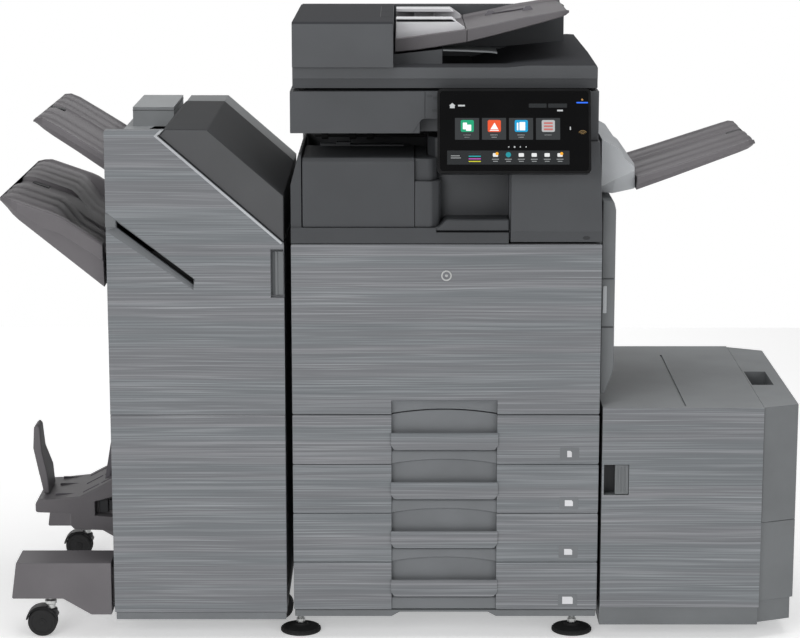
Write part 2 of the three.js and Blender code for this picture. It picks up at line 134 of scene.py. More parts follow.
def pale_floor():
    """Ends behind the object, so that the background is white."""
    bm = bmesh.new()
    bmesh.ops.create_grid(bm, x_segments=4, y_segments=4, size=6)
    bmesh.ops.translate(bm, verts=bm.verts, vec=(0, -3.2, 0))
    mesh = bpy.data.meshes.new("floor")
    bm.to_mesh(mesh)
    floor = add_object("floor", mesh)
    paint = Paint("floor_paint", None)
    paint.base((0.95, 0.95, 0.95, 1), 0.9)
    cloud = paint.noise(1.5)
    paint.colour(paint.ramp(cloud, [(0.3, (0.94, 0.94, 0.94, 1)), (0.7, (0.96, 0.96, 0.96, 1))]))
    paint.shader.inputs["Emission Color"].default_value = (1, 1, 1, 1)
    paint.shader.inputs["Emission Strength"].default_value = 0.36
    mesh.materials.append(paint.material)


# ---------------------------------------------------------------- materials
def srgb(code):
    """Linear colour of a six-digit hexadecimal sRGB code."""
    parts = [int(code[i:i + 2], 16) / 255 for i in (0, 2, 4)]
    return tuple(c / 12.92 if c <= 0.04045 else ((c + 0.055) / 1.055) ** 2.4 for c in parts) + (1,)


class Paint:
    """A procedural material and the record slot that it belongs to."""

    def __init__(self, name, slot):
        self.slot = slot
        self.material = bpy.data.materials.new(name)
        self.material.use_nodes = True
        self.tree = self.material.node_tree
        self.shader = self.tree.nodes["Principled BSDF"]
        self.place = self.node("ShaderNodeTexCoord").outputs["Object"]

    def node(self, kind, **values):
        made = self.tree.nodes.new(kind)
        for key, value in values.items():
            if key[0].isupper():
                made.inputs[key.replace("_", " ")].default_value = value
            else:
                setattr(made, key, value)
        return made

    def join(self, out, socket):
        self.tree.links.new(out, socket)

    def base(self, colour, roughness, metallic=0.0, **sockets):
        self.shader.inputs["Base Color"].default_value = colour
        self.shader.inputs["Roughness"].default_value = roughness
        self.shader.inputs["Metallic"].default_value = metallic
        for key, value in sockets.items():
            self.shader.inputs[key.replace("_", " ")].default_value = value
        return self

    def noise(self, scale, stretch=(1, 1, 1), detail=2.0, warp=None):
        mapping = self.node("ShaderNodeMapping")
        mapping.inputs["Scale"].default_value = stretch
        self.join(warp or self.place, mapping.inputs["Vector"])
        made = self.node("ShaderNodeTexNoise", Scale=scale, Detail=detail, Roughness=0.5)
        self.join(mapping.outputs["Vector"], made.inputs["Vector"])
        return made.outputs["Fac"]

    def ramp(self, source, stops):
        made = self.node("ShaderNodeValToRGB")
        elements = made.color_ramp.elements
        while len(elements) < len(stops):
            elements.new(0.5)
        for element, (at, colour) in zip(elements, stops):
            element.position = at
            element.color = colour
        self.join(source, made.inputs["Fac"])
        return made.outputs["Color"]

    def mix(self, mode, amount, first, second):
        made = self.node("ShaderNodeMix", data_type="RGBA", blend_type=mode)
        if isinstance(amount, float):
            made.inputs["Factor"].default_value = amount
        else:
            self.join(amount, made.inputs["Factor"])
        for value, socket in ((first, made.inputs[6]), (second, made.inputs[7])):
            if isinstance(value, tuple):
                socket.default_value = value
            else:
                self.join(value, socket)
        return made.outputs[2]

    def colour(self, source):
        self.join(source, self.shader.inputs["Base Color"])

    def gloss(self, source, low, high):
        """Roughness that follows a noise, from low to high."""
        made = self.node("ShaderNodeMapRange")
        made.inputs["To Min"].default_value = low
        made.inputs["To Max"].default_value = high
        self.join(source, made.inputs["Value"])
        self.join(made.outputs["Result"], self.shader.inputs["Roughness"])

    def bump(self, source, strength, depth, under=None):
        made = self.node("ShaderNodeBump", Strength=strength, Distance=depth)
        self.join(source, made.inputs["Height"])
        if under:
            self.join(under, made.inputs["Normal"])
        self.join(made.outputs["Normal"], self.shader.inputs["Normal"])
        return made.outputs["Normal"]


def shade(colour, factor):
    """A lighter or darker tone of a colour."""
    return tuple(c * factor for c in colour[:3]) + (1,)


def painted_edge_highlight(paint, source, colour, amount):
    """Lightens the very edge of a moulding: a painted highlight where the edge catches the light."""
    rounded = paint.node("ShaderNodeBevel", samples=4, Radius=0.0012)
    plain = paint.node("ShaderNodeNewGeometry").outputs["Normal"]
    dot = paint.node("ShaderNodeVectorMath", operation="DOT_PRODUCT")
    paint.join(rounded.outputs["Normal"], dot.inputs[0])
    paint.join(plain, dot.inputs[1])
    highlight_mask = paint.ramp(dot.outputs["Value"], [(0.80, (amount,) * 3 + (1,)), (0.985, (0, 0, 0, 1))])
    return paint.mix("MIX", highlight_mask, source, colour)


def brushed_panel(name, low, high, highlight_code):
    """Moulded cladding: long wavy horizontal ridges, with a painted highlight on the crests and painted shade
    in the troughs.
    """
    paint = Paint(name, "panel_grey").base(srgb(low), 0.5, 0.0, IOR=1.45)
    sway = paint.noise(1, (2.6, 2.6, 9), 1.0)
    offset = paint.node("ShaderNodeCombineXYZ")
    lift = paint.node("ShaderNodeMath", operation="MULTIPLY_ADD")
    lift.inputs[1].default_value = 0.009
    lift.inputs[2].default_value = -0.0045
    paint.join(sway, lift.inputs[0])
    paint.join(lift.outputs["Value"], offset.inputs["Z"])
    moved = paint.node("ShaderNodeVectorMath", operation="ADD")
    paint.join(paint.place, moved.inputs[0])
    paint.join(offset.outputs["Vector"], moved.inputs[1])
    warp = moved.outputs["Vector"]
    ridge = paint.noise(1, (2.2, 2.2, 340), 2.5, warp)
    fine = paint.noise(1, (3.6, 3.6, 640), 1.0, warp)
    tint = paint.noise(1, (0.8, 0.8, 40), 1.0, warp)
    middle = shade(srgb(low), 1.07)
    # Tone across the ridges: partly the moulding's own tone, partly painted shading of the relief.
    body = paint.ramp(ridge, [(0.34, srgb(low)), (0.50, middle), (0.66, srgb(high))])
    hue = paint.ramp(tint, [(0.42, (0.975, 1.0, 1.008, 1)), (0.58, (1.02, 1.0, 1.01, 1))])
    # Painted highlight on the fine crests and painted shade in the fine troughs.
    crest_highlight = paint.ramp(fine, [(0.57, (0, 0, 0, 1)), (0.71, (0.55, 0.55, 0.55, 1))])
    trough_shade = paint.ramp(fine, [(0.30, (0.36, 0.36, 0.36, 1)), (0.43, (0, 0, 0, 1))])
    toned = paint.mix("MULTIPLY", 1.0, body, hue)
    toned = paint.mix("MIX", crest_highlight, toned, srgb(highlight_code))
    toned = paint.mix("MIX", trough_shade, toned, shade(srgb(low), 0.66))
    # Painted highlight along the edges as well, in the highlight colour.
    paint.colour(painted_edge_highlight(paint, toned, srgb(highlight_code), 0.3))
    paint.gloss(ridge, 0.46, 0.58)
    grain = paint.noise(1500)
    first = paint.bump(ridge, 0.22, 0.0005)
    second = paint.bump(fine, 0.14, 0.0003, first)
    paint.bump(grain, 0.05, 0.0001, second)
    return paint


def moulded(name, slot, code, rough=(0.5, 0.64), grain=0.12, edge=0.22, level=0.5):
    """Spark-eroded plastic: fine grain, faint cloudiness, and edges a little lighter from a painted edge
    highlight.
    """
    colour = srgb(code)
    paint = Paint(name, slot).base(colour, rough[1], Specular_IOR_Level=level)
    cloud = paint.noise(9, detail=3.0)
    specks = paint.noise(1400, detail=1.0)
    toned = paint.ramp(cloud, [(0.35, shade(colour, 1 - 0.07)), (0.65, shade(colour, 1 + 0.07))])
    toned = paint.mix("OVERLAY", 0.10, toned, specks)
    # Edges get a painted highlight; edge sets its strength.
    paint.colour(painted_edge_highlight(paint, toned, shade(colour, 1.75), edge) if edge else toned)
    paint.gloss(cloud, *rough)
    paint.bump(specks, grain, 0.00012)
    return paint


def metal(name, slot, code, roughness):
    """Plated or bare sheet steel, faintly rolled in one direction."""
    colour = srgb(code)
    paint = Paint(name, slot).base(colour, roughness, 0.92)
    streak = paint.noise(1, (900, 30, 30), 2.0)
    toned = paint.ramp(streak, [(0.3, shade(colour, 0.86)), (0.7, shade(colour, 1.06))])
    paint.colour(toned)
    paint.gloss(streak, roughness - 0.06, roughness + 0.12)
    paint.bump(streak, 0.05, 0.0001)
    return paint


def glossy(name, slot, code, roughness, level):
    """Polished black bezel with the faintest smudging."""
    paint = Paint(name, slot).base(srgb(code), roughness, 0.0, Specular_IOR_Level=level)
    smear = paint.noise(14, (1, 1, 2), 4.0)
    paint.gloss(smear, roughness * 0.7, roughness * 1.9)
    tone = paint.ramp(smear, [(0.4, srgb(code)), (0.7, shade(srgb(code), 1.25))])
    paint.colour(tone)
    return paint


def lit(name, code, strength=0.55):
    """Part of the display that glows."""
    colour = srgb(code)
    paint = Paint(name, "screen_glass").base(shade(colour, 0.5), 0.25)
    cell = paint.noise(2600, detail=0.0)
    glow = paint.ramp(cell, [(0.2, shade(colour, 0.9)), (0.8, colour)])
    paint.join(glow, paint.shader.inputs["Emission Color"])
    paint.shader.inputs["Emission Strength"].default_value = strength
    return paint


def clear_glass():
    paint = Paint("flatbed_glass", "platen_glass")
    paint.base(srgb("c9d6d6"), 0.04, 0.0, IOR=1.5, Transmission_Weight=0.85, Alpha=1.0)
    dust = paint.noise(60, detail=3.0)
    paint.gloss(dust, 0.02, 0.08)
    paint.bump(dust, 0.01, 0.0001)
    return paint


# The third colour is the painted highlight of crests and edges.
PANEL = brushed_panel("brushed_panel", "6d7073", "86888b", "a5a8ab")
PANEL_SMOOTH = moulded("panel_smooth", "panel_grey", "6f7275")
# Light grey of the rim strip: a painted highlight where the chamfer catches the light.
PANEL_RIM_HIGHLIGHT = moulded("panel_rim_painted_highlight", "panel_grey", "b4b7ba", edge=0)
DARK = moulded("dark_plastic", "dark_grey", "4b4d50")
# Darker copy of the dark plastic for upward faces: painted shade, as tops are lit less than fronts.
DARK_TOP_SHADED = moulded("dark_plastic_top_painted_shade", "dark_grey", "36373a", rough=(0.7, 0.85), level=0.12)
# Darker copies of the same dark plastic, used where those parts sit in shade: painted shade.
DARK_MID_SHADED = moulded("dark_plastic_mid_painted_shade", "dark_grey", "444649")
DARK_WALL_SHADED = moulded("dark_plastic_wall_painted_shade", "dark_grey", "3f4144")
DARK_LOW_SHADED = moulded("dark_plastic_low_painted_shade", "dark_grey", "3b3d40")
COVER = moulded("slope_cover_plastic", "dark_grey", "48494b")
# Darker copy of the cover plastic for its upward faces: painted shade.
COVER_TOP_SHADED = moulded("slope_cover_top_painted_shade", "dark_grey", "353638", rough=(0.7, 0.85), level=0.2)
INNER = moulded("inner_plastic", "inner_dark", "26272a", edge=0.1)
TRAY = moulded("tray_plastic", "tray_grey", "656265")
TRAY_LOW = moulded("tray_plastic_low", "tray_grey", "57545a")
SIDE = moulded("side_plastic", "side_grey", "6a6d6f")
# Lighter copy of the side plastic for tops and the finisher's rear box: painted light.
SIDE_TOP_LIT = moulded("side_plastic_top_painted_light", "side_grey", "8c8f91")
LIGHT = moulded("guide_plastic", "guide_light", "d8d8db", grain=0.08)
EXIT = moulded("exit_plastic", "exit_light_grey", "b0b3b6", grain=0.08)
BLACK = moulded("black_plastic", "black_plastic", "1c1c1e", rough=(0.42, 0.55), edge=0.15)
RUBBER = moulded("rubber", "black_plastic", "19191a", rough=(0.7, 0.85), grain=0.3, edge=0)
GLOSS = glossy("gloss_bezel", "screen_glass", "0a0a0b", 0.08, 0.16)
BEZEL = glossy("bezel_edge", "black_plastic", "101011", 0.25, 0.25)
STEEL = metal("sheet_steel", "steel", "a9abad", 0.36)
PLATED = metal("plated_steel", "steel", "c9cac9", 0.28)
GLASS = clear_glass()
TONER = {
    "yellow": moulded("toner_yellow", "toner_yellow", "d6ae22"),
    "magenta": moulded("toner_magenta", "toner_magenta", "ad2a69"),
    "cyan": moulded("toner_cyan", "toner_cyan", "1f8cbd"),
    "black": moulded("toner_black", "black_plastic", "232325"),
}


# ---------------------------------------------------------------- building forms
PLANES = {
    "x": lambda u, v, w: (w, u, v),
    "y": lambda u, v, w: (u, w, v),
    "z": lambda u, v, w: (u, v, w),
}


def rounded(points, radius=None, steps=5):
    """A closed outline with its corners rounded. A point may carry its own radius as third value."""
    out = []
    count = len(points)
    for i, point in enumerate(points):
        here = Vector(point[:2])
        size = point[2] if len(point) > 2 else radius
        before = Vector(points[i - 1][:2]) - here
        after = Vector(points[(i + 1) % count][:2]) - here
        if not size or before.length < 1e-6 or after.length < 1e-6:
            out.append(tuple(here))
            continue
        before.normalize()
        after.normalize()
        half = math.acos(max(-1, min(1, before.dot(after)))) / 2
        if half < 0.05 or half > math.pi / 2 - 0.02:
            out.append(tuple(here))
            continue
        reach = size / math.tan(half)
        centre = here + (before + after).normalized() * (size / math.sin(half))
        a = here + before * reach - centre
        b = here + after * reach - centre
        turn = math.atan2(a.x * b.y - a.y * b.x, a.dot(b))
        for k in range(steps + 1):
            t = turn * k / steps
            out.append((
                centre.x + a.x * math.cos(t) - a.y * math.sin(t),
                centre.y + a.x * math.sin(t) + a.y * math.cos(t),
            ))
    return out


def rect(u0, u1, v0, v1, radius=0, steps=5):
    return rounded([(u0, v0), (u1, v0), (u1, v1), (u0, v1)], radius, steps)


def smooth_step(t):
    t = max(0.0, min(1.0, t))
    return t * t * (3 - 2 * t)


class Form:
    """A mesh being built in machine millimetres."""

    def __init__(self):
        self.bm = bmesh.new()

    def loft(self, rings):
        loops = [[self.bm.verts.new(p) for p in ring] for ring in rings]
        count = len(loops[0])
        faces = []
        for a, b in zip(loops, loops[1:]):
            for i in range(count):
                j = (i + 1) % count
                faces.append(self.bm.faces.new((a[i], a[j], b[j], b[i])))
        faces.append(self.bm.faces.new(loops[0][::-1]))
        faces.append(self.bm.faces.new(loops[-1]))
        bmesh.ops.recalc_face_normals(self.bm, faces=faces)
        return self

    def prism(self, axis, outline, a, b):
        place = PLANES[axis]
        return self.loft([[place(u, v, w) for u, v in outline] for w in (a, b)])

    def box(self, x0, x1, y0, y1, z0, z1):
        return self.prism("z", [(x0, y0), (x1, y0), (x1, y1), (x0, y1)], z0, z1)

    def lathe(self, axis, profile, centre, steps=40):
        """profile is [radius, place along the axis] pairs; it closes on itself or ends on the axis."""
        place = PLANES[axis]
        rings = []
        for k in range(steps):
            angle = 2 * math.pi * k / steps
            rings.append([
                tuple(Vector(place(r * math.cos(angle), r * math.sin(angle), w)) + Vector(centre))
                for r, w in profile
            ])
        before = set(self.bm.faces)
        loops = [[self.bm.verts.new(p) for p in ring] for ring in rings]
        count = len(profile)
        for k in range(steps):
            a, b = loops[k], loops[(k + 1) % steps]
            for i in range(count):
                j = (i + 1) % count
                if profile[i][0] < 1e-6 and profile[j][0] < 1e-6:
                    continue
                self.bm.faces.new((a[i], a[j], b[j], b[i]))
        bmesh.ops.remove_doubles(self.bm, verts=[v for loop in loops for v in loop], dist=1e-4)
        made = [f for f in self.bm.faces if f not in before]
        bmesh.ops.recalc_face_normals(self.bm, faces=made)
        return self

    def tube(self, path, radius, sides=10):
        points = [Vector(p) for p in path]
        rings = []
        for i, point in enumerate(points):
            ahead = points[min(i + 1, len(points) - 1)] - points[max(i - 1, 0)]
            side = ahead.cross(Vector((0, 0, 1)))
            if side.length < 1e-3:
                side = ahead.cross(Vector((1, 0, 0)))
            side.normalize()
            up = side.cross(ahead).normalized()
            rings.append([
                tuple(point + side * radius * math.cos(t) + up * radius * math.sin(t))
                for t in (2 * math.pi * k / sides for k in range(sides))
            ])
        return self.loft(rings)

    def join(self, other):
        mesh = bpy.data.meshes.new("join")
        other.bm.to_mesh(mesh)
        self.bm.from_mesh(mesh)
        bpy.data.meshes.remove(mesh)
        return self

    def carve(self, tool):
        """Cuts another form out of this one."""
        objects = []
        for form in (self, tool):
            mesh = bpy.data.meshes.new("carve")
            form.bm.to_mesh(mesh)
            objects.append(add_object("carve", mesh))
        base, cutter = objects
        cut = base.modifiers.new("cut", "BOOLEAN")
        cut.operation = "DIFFERENCE"
        cut.solver = "EXACT"
        cut.object = cutter
        result = base.evaluated_get(bpy.context.evaluated_depsgraph_get()).to_mesh()
        self.bm.free()
        self.bm = bmesh.new()
        self.bm.from_mesh(result)
        base.to_mesh_clear()
        for made in objects:
            mesh = made.data
            bpy.data.objects.remove(made)
            bpy.data.meshes.remove(mesh)
        return self

    def paint(self, index, test):
        """Gives material slot index to each face whose centre and normal pass the test."""
        for face in self.bm.faces:
            if test(face.calc_center_median(), face.normal):
                face.material_index = index
        return self

    def turn(self, matrix):
        self.bm.transform(matrix)
        return self

    def piece(self, name, body, paints, bevel=0.8, segments=2, angle=28, replaces=()):
        paints = paints if isinstance(paints, (list, tuple)) else [paints]
        mesh = bpy.data.meshes.new(name)
        self.bm.transform(TO_ROW)
        self.bm.normal_update()
        self.bm.to_mesh(mesh)
        self.bm.free()
        mesh.shade_smooth()
        for paint in paints:
            mesh.materials.append(paint.material)
        made = add_object(name, mesh)
        if bevel:
            soft = made.modifiers.new("edges", "BEVEL")
            soft.width = bevel / 1000
            soft.segments = segments
            soft.limit_method = "ANGLE"
            soft.angle_limit = math.radians(angle)
            soft.use_clamp_overlap = True
            soft.harden_normals = False
        even = made.modifiers.new("normals", "WEIGHTED_NORMAL")
        even.keep_sharp = False
        even.weight = 80
        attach(made, body)
        if replaces:
            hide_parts(*replaces)
        return made


def skin(node):
    """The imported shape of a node, as a form with its flat faces whole again."""
    form = Form()
    form.bm.from_mesh(frame["nodes"][node].data)
    form.bm.transform(TO_ROW.inverted())
    bmesh.ops.remove_doubles(form.bm, verts=form.bm.verts, dist=0.01)
    bmesh.ops.dissolve_limit(
        form.bm, angle_limit=math.radians(1), verts=form.bm.verts, edges=form.bm.edges)
    form.bm.normal_update()
    return form


def dress(node, paints, bevel=0.8, segments=2, edit=None):
    """Shows a node as its own shape with softened edges."""
    form = skin(node)
    if edit:
        edit(form)
    return form.piece(node + "_shell", BODY_OF[node], paints, bevel, segments, replaces=(node,))


def finish_node(node, paint):
    """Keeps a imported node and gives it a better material."""
    materials = frame["nodes"][node].data.materials
    materials.clear()
    materials.append(paint.material)


def screw(form, x, y, z):
    """A dished pan-head screw that faces the rear."""
    radius = 3.6
    form.lathe("y", [
        (0, 0), (radius, 0), (radius, 0.9), (radius * 0.8, 1.7), (radius * 0.35, 1.9),
        (radius * 0.25, 1.2), (0, 1.2),
    ], (x, y, z), 20)


# ---------------------------------------------------------------- main body
def main_frame():
    dress("base_plinth", SIDE, 1.5)
    dress("left_side_cover", SIDE, 1.2)
    dress("right_side_frame", SIDE, 1.2)
    dress("rear_cover", SIDE, 1.5)
    finish_node("engine_deck", STEEL)


def rear_face():
    """Louvres, plates and screws of the rear cover, and the power inlet."""
    back = 344.0
    vents = Form()
    for column in (-190, 120):
        for row in range(14):
            z = 840 + row * 9
            vents.prism("x", [
                (back - 0.5, z), (back + 1.6, z + 1.2), (back + 1.6, z + 3), (back - 0.5, z + 5),
            ], column - 70, column + 70)
    vents.piece("rear_louvres", "machine", INNER, 0.3)
    plates = Form().prism("y", rect(-296, 296, 470, 1004, 6), back, back + 1.2)
    plates.prism("y", rect(-296, 296, 60, 464, 6), back, back + 1.2)
    plates.piece("rear_plates", "machine", SIDE, 0.5)
    screws = Form()
    for x in (-286, -95, 95, 286):
        for z in (72, 452, 482, 992):
            screw(screws, x, back + 1.2, z)
    screws.piece("rear_screws", "machine", PLATED, 0)
    inlet = Form().prism("y", rect(-236, -196, 104, 136, 4), back, back + 3)
    hole = Form().prism("y", rect(-230.5, -201.5, 109.5, 130.5, 3), back - 2, back + 5)
    inlet.carve(hole)
    for x in (-223, -216, -209):
        inlet.prism("y", rect(x - 1, x + 1, 117, 124, 0.6, 3), back - 9, back - 1)
    inlet.piece("power_inlet", "machine", BLACK, 0.4)


def output_area():
    dress("output_deck", DARK_LOW_SHADED, 1.2, 3)
    dress("scanner_stand", DARK_WALL_SHADED, 1.6, 3)
    apron = Form()
    apron.prism("y", rounded([(125, 828), (301.6, 828), (299.4, 900), (294.6, 1002), (125, 1002)], 1.5, 3),
                FRONT - 1.2, FRONT + 2)
    apron.piece("column_apron", "machine", DARK_MID_SHADED, 0.9, 3)
    port = Form().prism("y", rounded([
        (263, 815), (267, 811.5), (275, 811.5), (279, 815), (275, 818.5), (267, 818.5),
    ], 1.5, 3), FRONT - 0.4, FRONT + 1)
    port.piece("service_port", "machine", INNER, 0.2)


def output_step():
    """Ledge of the output deck, with a soft rise at its left end."""
    left, right, steps = -24, 120.5, 32
    lip = Form()
    rings = []
    for k in range(steps + 1):
        x = left + (right - left) * k / steps
        top = 836 + 16 * smooth_step((x + 20) / 24)
        rings.append([
            (x, -307, OUT_Z - 6), (x, -306.6, top - 3), (x, -303.5, top), (x, -257, top),
            (x, -257, OUT_Z - 6),
        ])
    lip.loft(rings)
    lip.piece("output_step", "machine", DARK_LOW_SHADED, 1.6, 3)


def paper_pass():
    """Relay unit that carries sheets to the finisher, and its roller shaft."""
    passage = Form()
    section = rounded([
        (FRONT + 4, OUT_Z + 0.8), (FRONT + 4, 963, 3), (FRONT + 13, 970, 6), (-112, 970, 2), (-108, 905),
        (50, 900), (50, OUT_Z + 0.8),
    ], 0, 4)
    passage.prism("x", section, -279, -62.4)
    for x0, x1, rise in ((-250, -218, 5), (-218, -189, 8), (-189, -82, 3)):
        passage.prism("x", [(-122, 968), (-122, 970 + rise), (-104, 970 + rise), (-104, 968)], x0, x1)
    passage.prism("z", rounded([
        (-61.6, -110), (-61.6, FRONT + 5), (-30, FRONT + 5, 10), (-14, FRONT + 20, 14), (-10, -262, 4),
        (-38, -238), (-38, -110),
    ], 0, 6), OUT_Z + 0.8, 925)
    passage.prism("z", rounded([
        (-61.6, -110), (-61.6, FRONT + 14), (-30, FRONT + 14, 14), (-16, -276, 16), (-38, -238),
        (-38, -110),
    ], 0, 6), 925, 968)
    passage.piece("paper_pass", "machine", DARK_WALL_SHADED, 1.0, 3, replaces=("paper_pass_unit",))
    shaft = Form().lathe("x", [(0, -262), (2.5, -262), (2.5, -38), (0, -38)], (0, -100, 988), 16)
    for x in (-241, -185, -150):
        shaft.lathe("x", [(2, -7), (6.5, -7), (7.5, -5), (7.5, 5), (6.5, 7), (2, 7)], (x, -100, 988), 28)
    shaft.piece("exit_rollers", "machine", RUBBER, 0.3)


def levelling_feet():
    """Rubber pad with ribs round its rim, threaded stem and hex nut."""
    for i, (x, y) in enumerate(((-291, -250), (257, -250), (-270, 285), (257, 285))):
        pad = Form()
        pad.lathe("z", [(0, 0), (38.5, 0), (40.4, 1.2), (40.5, 4.2), (39.3, 6), (37.5, 9), (34, 10.2),
                        (24, 11.2), (16.5, 12.6), (14, 15), (13.4, 17.8), (0, 17.8)], (x, y, 0), 56)
        for k in range(24):
            angle = 2 * math.pi * k / 24
            rib = Form().box(37, 40.6, -1.2, 1.2, 1.4, 7.2)
            rib.turn(Matrix.Translation((x, y, 0)) @ Matrix.Rotation(angle, 4, "Z"))
            pad.join(rib)
        pad.piece(f"foot_pad_{i + 1}", "machine", RUBBER, 0.5, replaces=(f"levelling_foot_{i + 1}",))
        stem = Form()
        thread = [(0, 17)]
        for k in range(15):
            thread += [(6.9, 18 + k * 2), (6.1, 19 + k * 2)]
        thread += [(6.1, 47.6), (0, 47.6)]
        stem.lathe("z", thread, (x, y, 0), 24)
        nut = [(9 * math.cos(k * math.pi / 3), 9 * math.sin(k * math.pi / 3)) for k in range(6)]
        stem.prism("z", [(x + u, y + v) for u, v in nut], 18.2, 25.5)
        stem.piece(f"foot_stem_{i + 1}", "machine", PLATED, 0.5)


def print_engine():
    for i, (colour, paint) in enumerate(TONER.items()):
        x = -226 + i * 84
        dress(f"toner_cartridge_{colour}", BLACK, 1.5, 3)
        cap = Form().prism("y", rect(x - 25, x + 25, 677, 743, 9), -263.5, -261.5)
        for z in (686, 694, 726, 734):
            cap.prism("y", rect(x - 17, x + 17, z - 1.5, z + 1.5, 1.4, 3), -265, -263)
        cap.piece(f"toner_cap_{colour}", "machine", paint, 0.6)
    dress("transfer_unit", INNER, 1.2)
    dress("fuser_unit", INNER, 2)
    levers = Form()
    for x, z in ((-210, 585), (60, 585), (204, 690)):
        levers.prism("y", rect(x - 22, x + 22, z - 7, z + 7, 6), -256, -250)
        levers.lathe("y", [(0, -265), (9, -265), (11, -262), (11, -250), (0, -250)], (x - 14, 0, z), 28)
    levers.piece("release_levers", "machine", moulded("release_green", "inner_dark", "2f7d6a"), 0.8)


def arch(x):
    """Height of the bow in a recess edge above its two ends."""
    middle = (RECESS[0] + RECESS[1]) / 2
    half = (RECESS[1] - RECESS[0]) / 2
    return ARCH * (1 - ((x - middle) / half) ** 2)


def recess_columns(section):
    """A form lofted across the hand recess; section(x) gives its outline in y and z."""
    x0, x1 = RECESS
    steps = 24
    rings = []
    for k in range(steps + 1):
        x = x0 + (x1 - x0) * k / steps
        rings.append([(x, y, z) for y, z in section(x)])
    return Form().loft(rings)


def front_door():
    low, high = DECK_Z + 0.6, 802.5
    form = Form().prism("y", rounded([
        (-302, low, 3), (RECESS[0] - 0.1, low), (RECESS[0] - 0.1, 491.5), (RECESS[1] + 0.1, 491.5),
        (RECESS[1] + 0.1, low), (302, low, 3), (302, high, 3), (-302, high, 3),
    ], 0, 4), FRONT, FRONT + PANEL_T)
    form.piece("front_door_shell", "front_door", PANEL, 1.3, 3, replaces=("front_door",))
    scoop = recess_columns(lambda x: [
        (FRONT + 0.4, 491.4), (FRONT + 3, 490), (FRONT + 7, 486), (FRONT + 10.5, 480),
        (FRONT + 11.5, 474), (FRONT + 11.5, low + arch(x)), (FRONT + PANEL_T, low + arch(x)),
        (FRONT + PANEL_T, 491.4),
    ])
    scoop.piece("front_door_scoop", "front_door", PANEL_SMOOTH, 0.5)
    liner = Form().prism("y", rect(-288, 288, 484, 792, 12), FRONT + PANEL_T, FRONT + PANEL_T + 2)
    for x in range(-240, 241, 60):
        liner.box(x - 1.5, x + 1.5, FRONT + 20, FRONT + 26, 500, 776)
    for z in (520, 640, 760):
        liner.box(-270, 270, FRONT + 20, FRONT + 26, z - 1.5, z + 1.5)
    liner.piece("front_door_liner", "front_door", INNER, 0.5)
    rosette = Form()
    rosette.lathe("y", [(7.5, 0.8), (10.5, 0.8), (10.5, -1.4), (10.1, -1.9), (7.9, -1.9), (7.5, -1.4)],
                  (0, FRONT + 0.5, 741), 40)
    rosette.lathe("y", [(0, -1.6), (2.4, -1.6), (2.8, -1.2), (2.8, 0.5), (0, 0.5)], (0, FRONT + 0.5, 741), 24)
    rosette.piece("door_badge", "front_door", PLATED, 0.15)


def drawer(index):
    number = index + 1
    last = number == DRAWER_COUNT
    top = DECK_Z - 1 - index * DRAWER_PITCH
    bottom = LOWEST_EDGE if last else top - DRAWER_PITCH + 1
    bar_top, bar_low = top - 35, top - 70.5
    drawer_front(number, top, bottom, bar_low, 0 if last else 1)
    drawer_handle(number, bar_top, bar_low)
    size_plate(number, top)
    drawer_inside(number, top, bottom + 16.5)


def drawer_front(number, top, bottom, bar_low, bend):
    """Cladding left and right of a smooth recess; bend is 1 where the lower edge follows the arch."""
    body = f"drawer_{number}"
    x0, x1 = RECESS
    sides = Form()
    sides.prism("y", rounded([(-302, bottom, 3), (x0, bottom), (x0, top), (-302, top, 3)], 0, 4),
                FRONT, FRONT + PANEL_T)
    sides.prism("y", rounded([(x1, bottom), (302, bottom, 3), (302, top, 3), (x1, top)], 0, 4),
                FRONT, FRONT + PANEL_T)
    sides.piece(f"drawer_cladding_{number}", body, PANEL, 1.2, 3,
                replaces=(f"drawer_front_{number}",))
    middle = recess_columns(lambda x: [
        (FRONT + 12, top + arch(x) - 0.8), (FRONT + 12, bar_low + 6), (FRONT + 9, bar_low - 1),
        (FRONT + 5.5, bar_low - 4), (FRONT + 4, bar_low - 8), (FRONT + 4, bottom + 1.5 + bend * arch(x)),
        (FRONT + 5, bottom + bend * arch(x)), (FRONT + 18.6, bottom + bend * arch(x)),
        (FRONT + 18.6, top + arch(x) - 0.8),
    ])
    middle.piece(f"drawer_recess_{number}", body, PANEL_SMOOTH, 0.6)


def drawer_handle(number, bar_top, bar_low):
    """Handle bar across the recess, with its lower corners rounded off."""
    x0, x1 = RECESS[0] - 1, RECESS[1] + 2
    steps, run_out = 36, 12
    bar = Form()
    section = rounded([
        (FRONT - 3.8, bar_low + 2, 2), (FRONT - 4, bar_top - 1, 2.5), (FRONT + 1, bar_top, 2),
        (FRONT + 2, bar_low + 5, 1.5), (FRONT + 4.5, bar_low, 1.5), (FRONT - 2, bar_low, 1.5),
    ], 0, 4)
    rings = []
    for k in range(steps + 1):
        x = x0 + (x1 - x0) * (k / steps)
        edge = min(k, steps - k) * (x1 - x0) / steps
        round_off = 9 * (1 - math.sqrt(max(0, 1 - (1 - min(edge, run_out) / run_out) ** 2)))
        ring = []
        for y, z in section:
            share = (bar_top - z) / (bar_top - bar_low)
            ring.append((x, y, z + round_off * share))
        rings.append(ring)
    bar.loft(rings)
    bar.piece(f"drawer_handle_{number}", f"drawer_{number}", PANEL, 0.7)


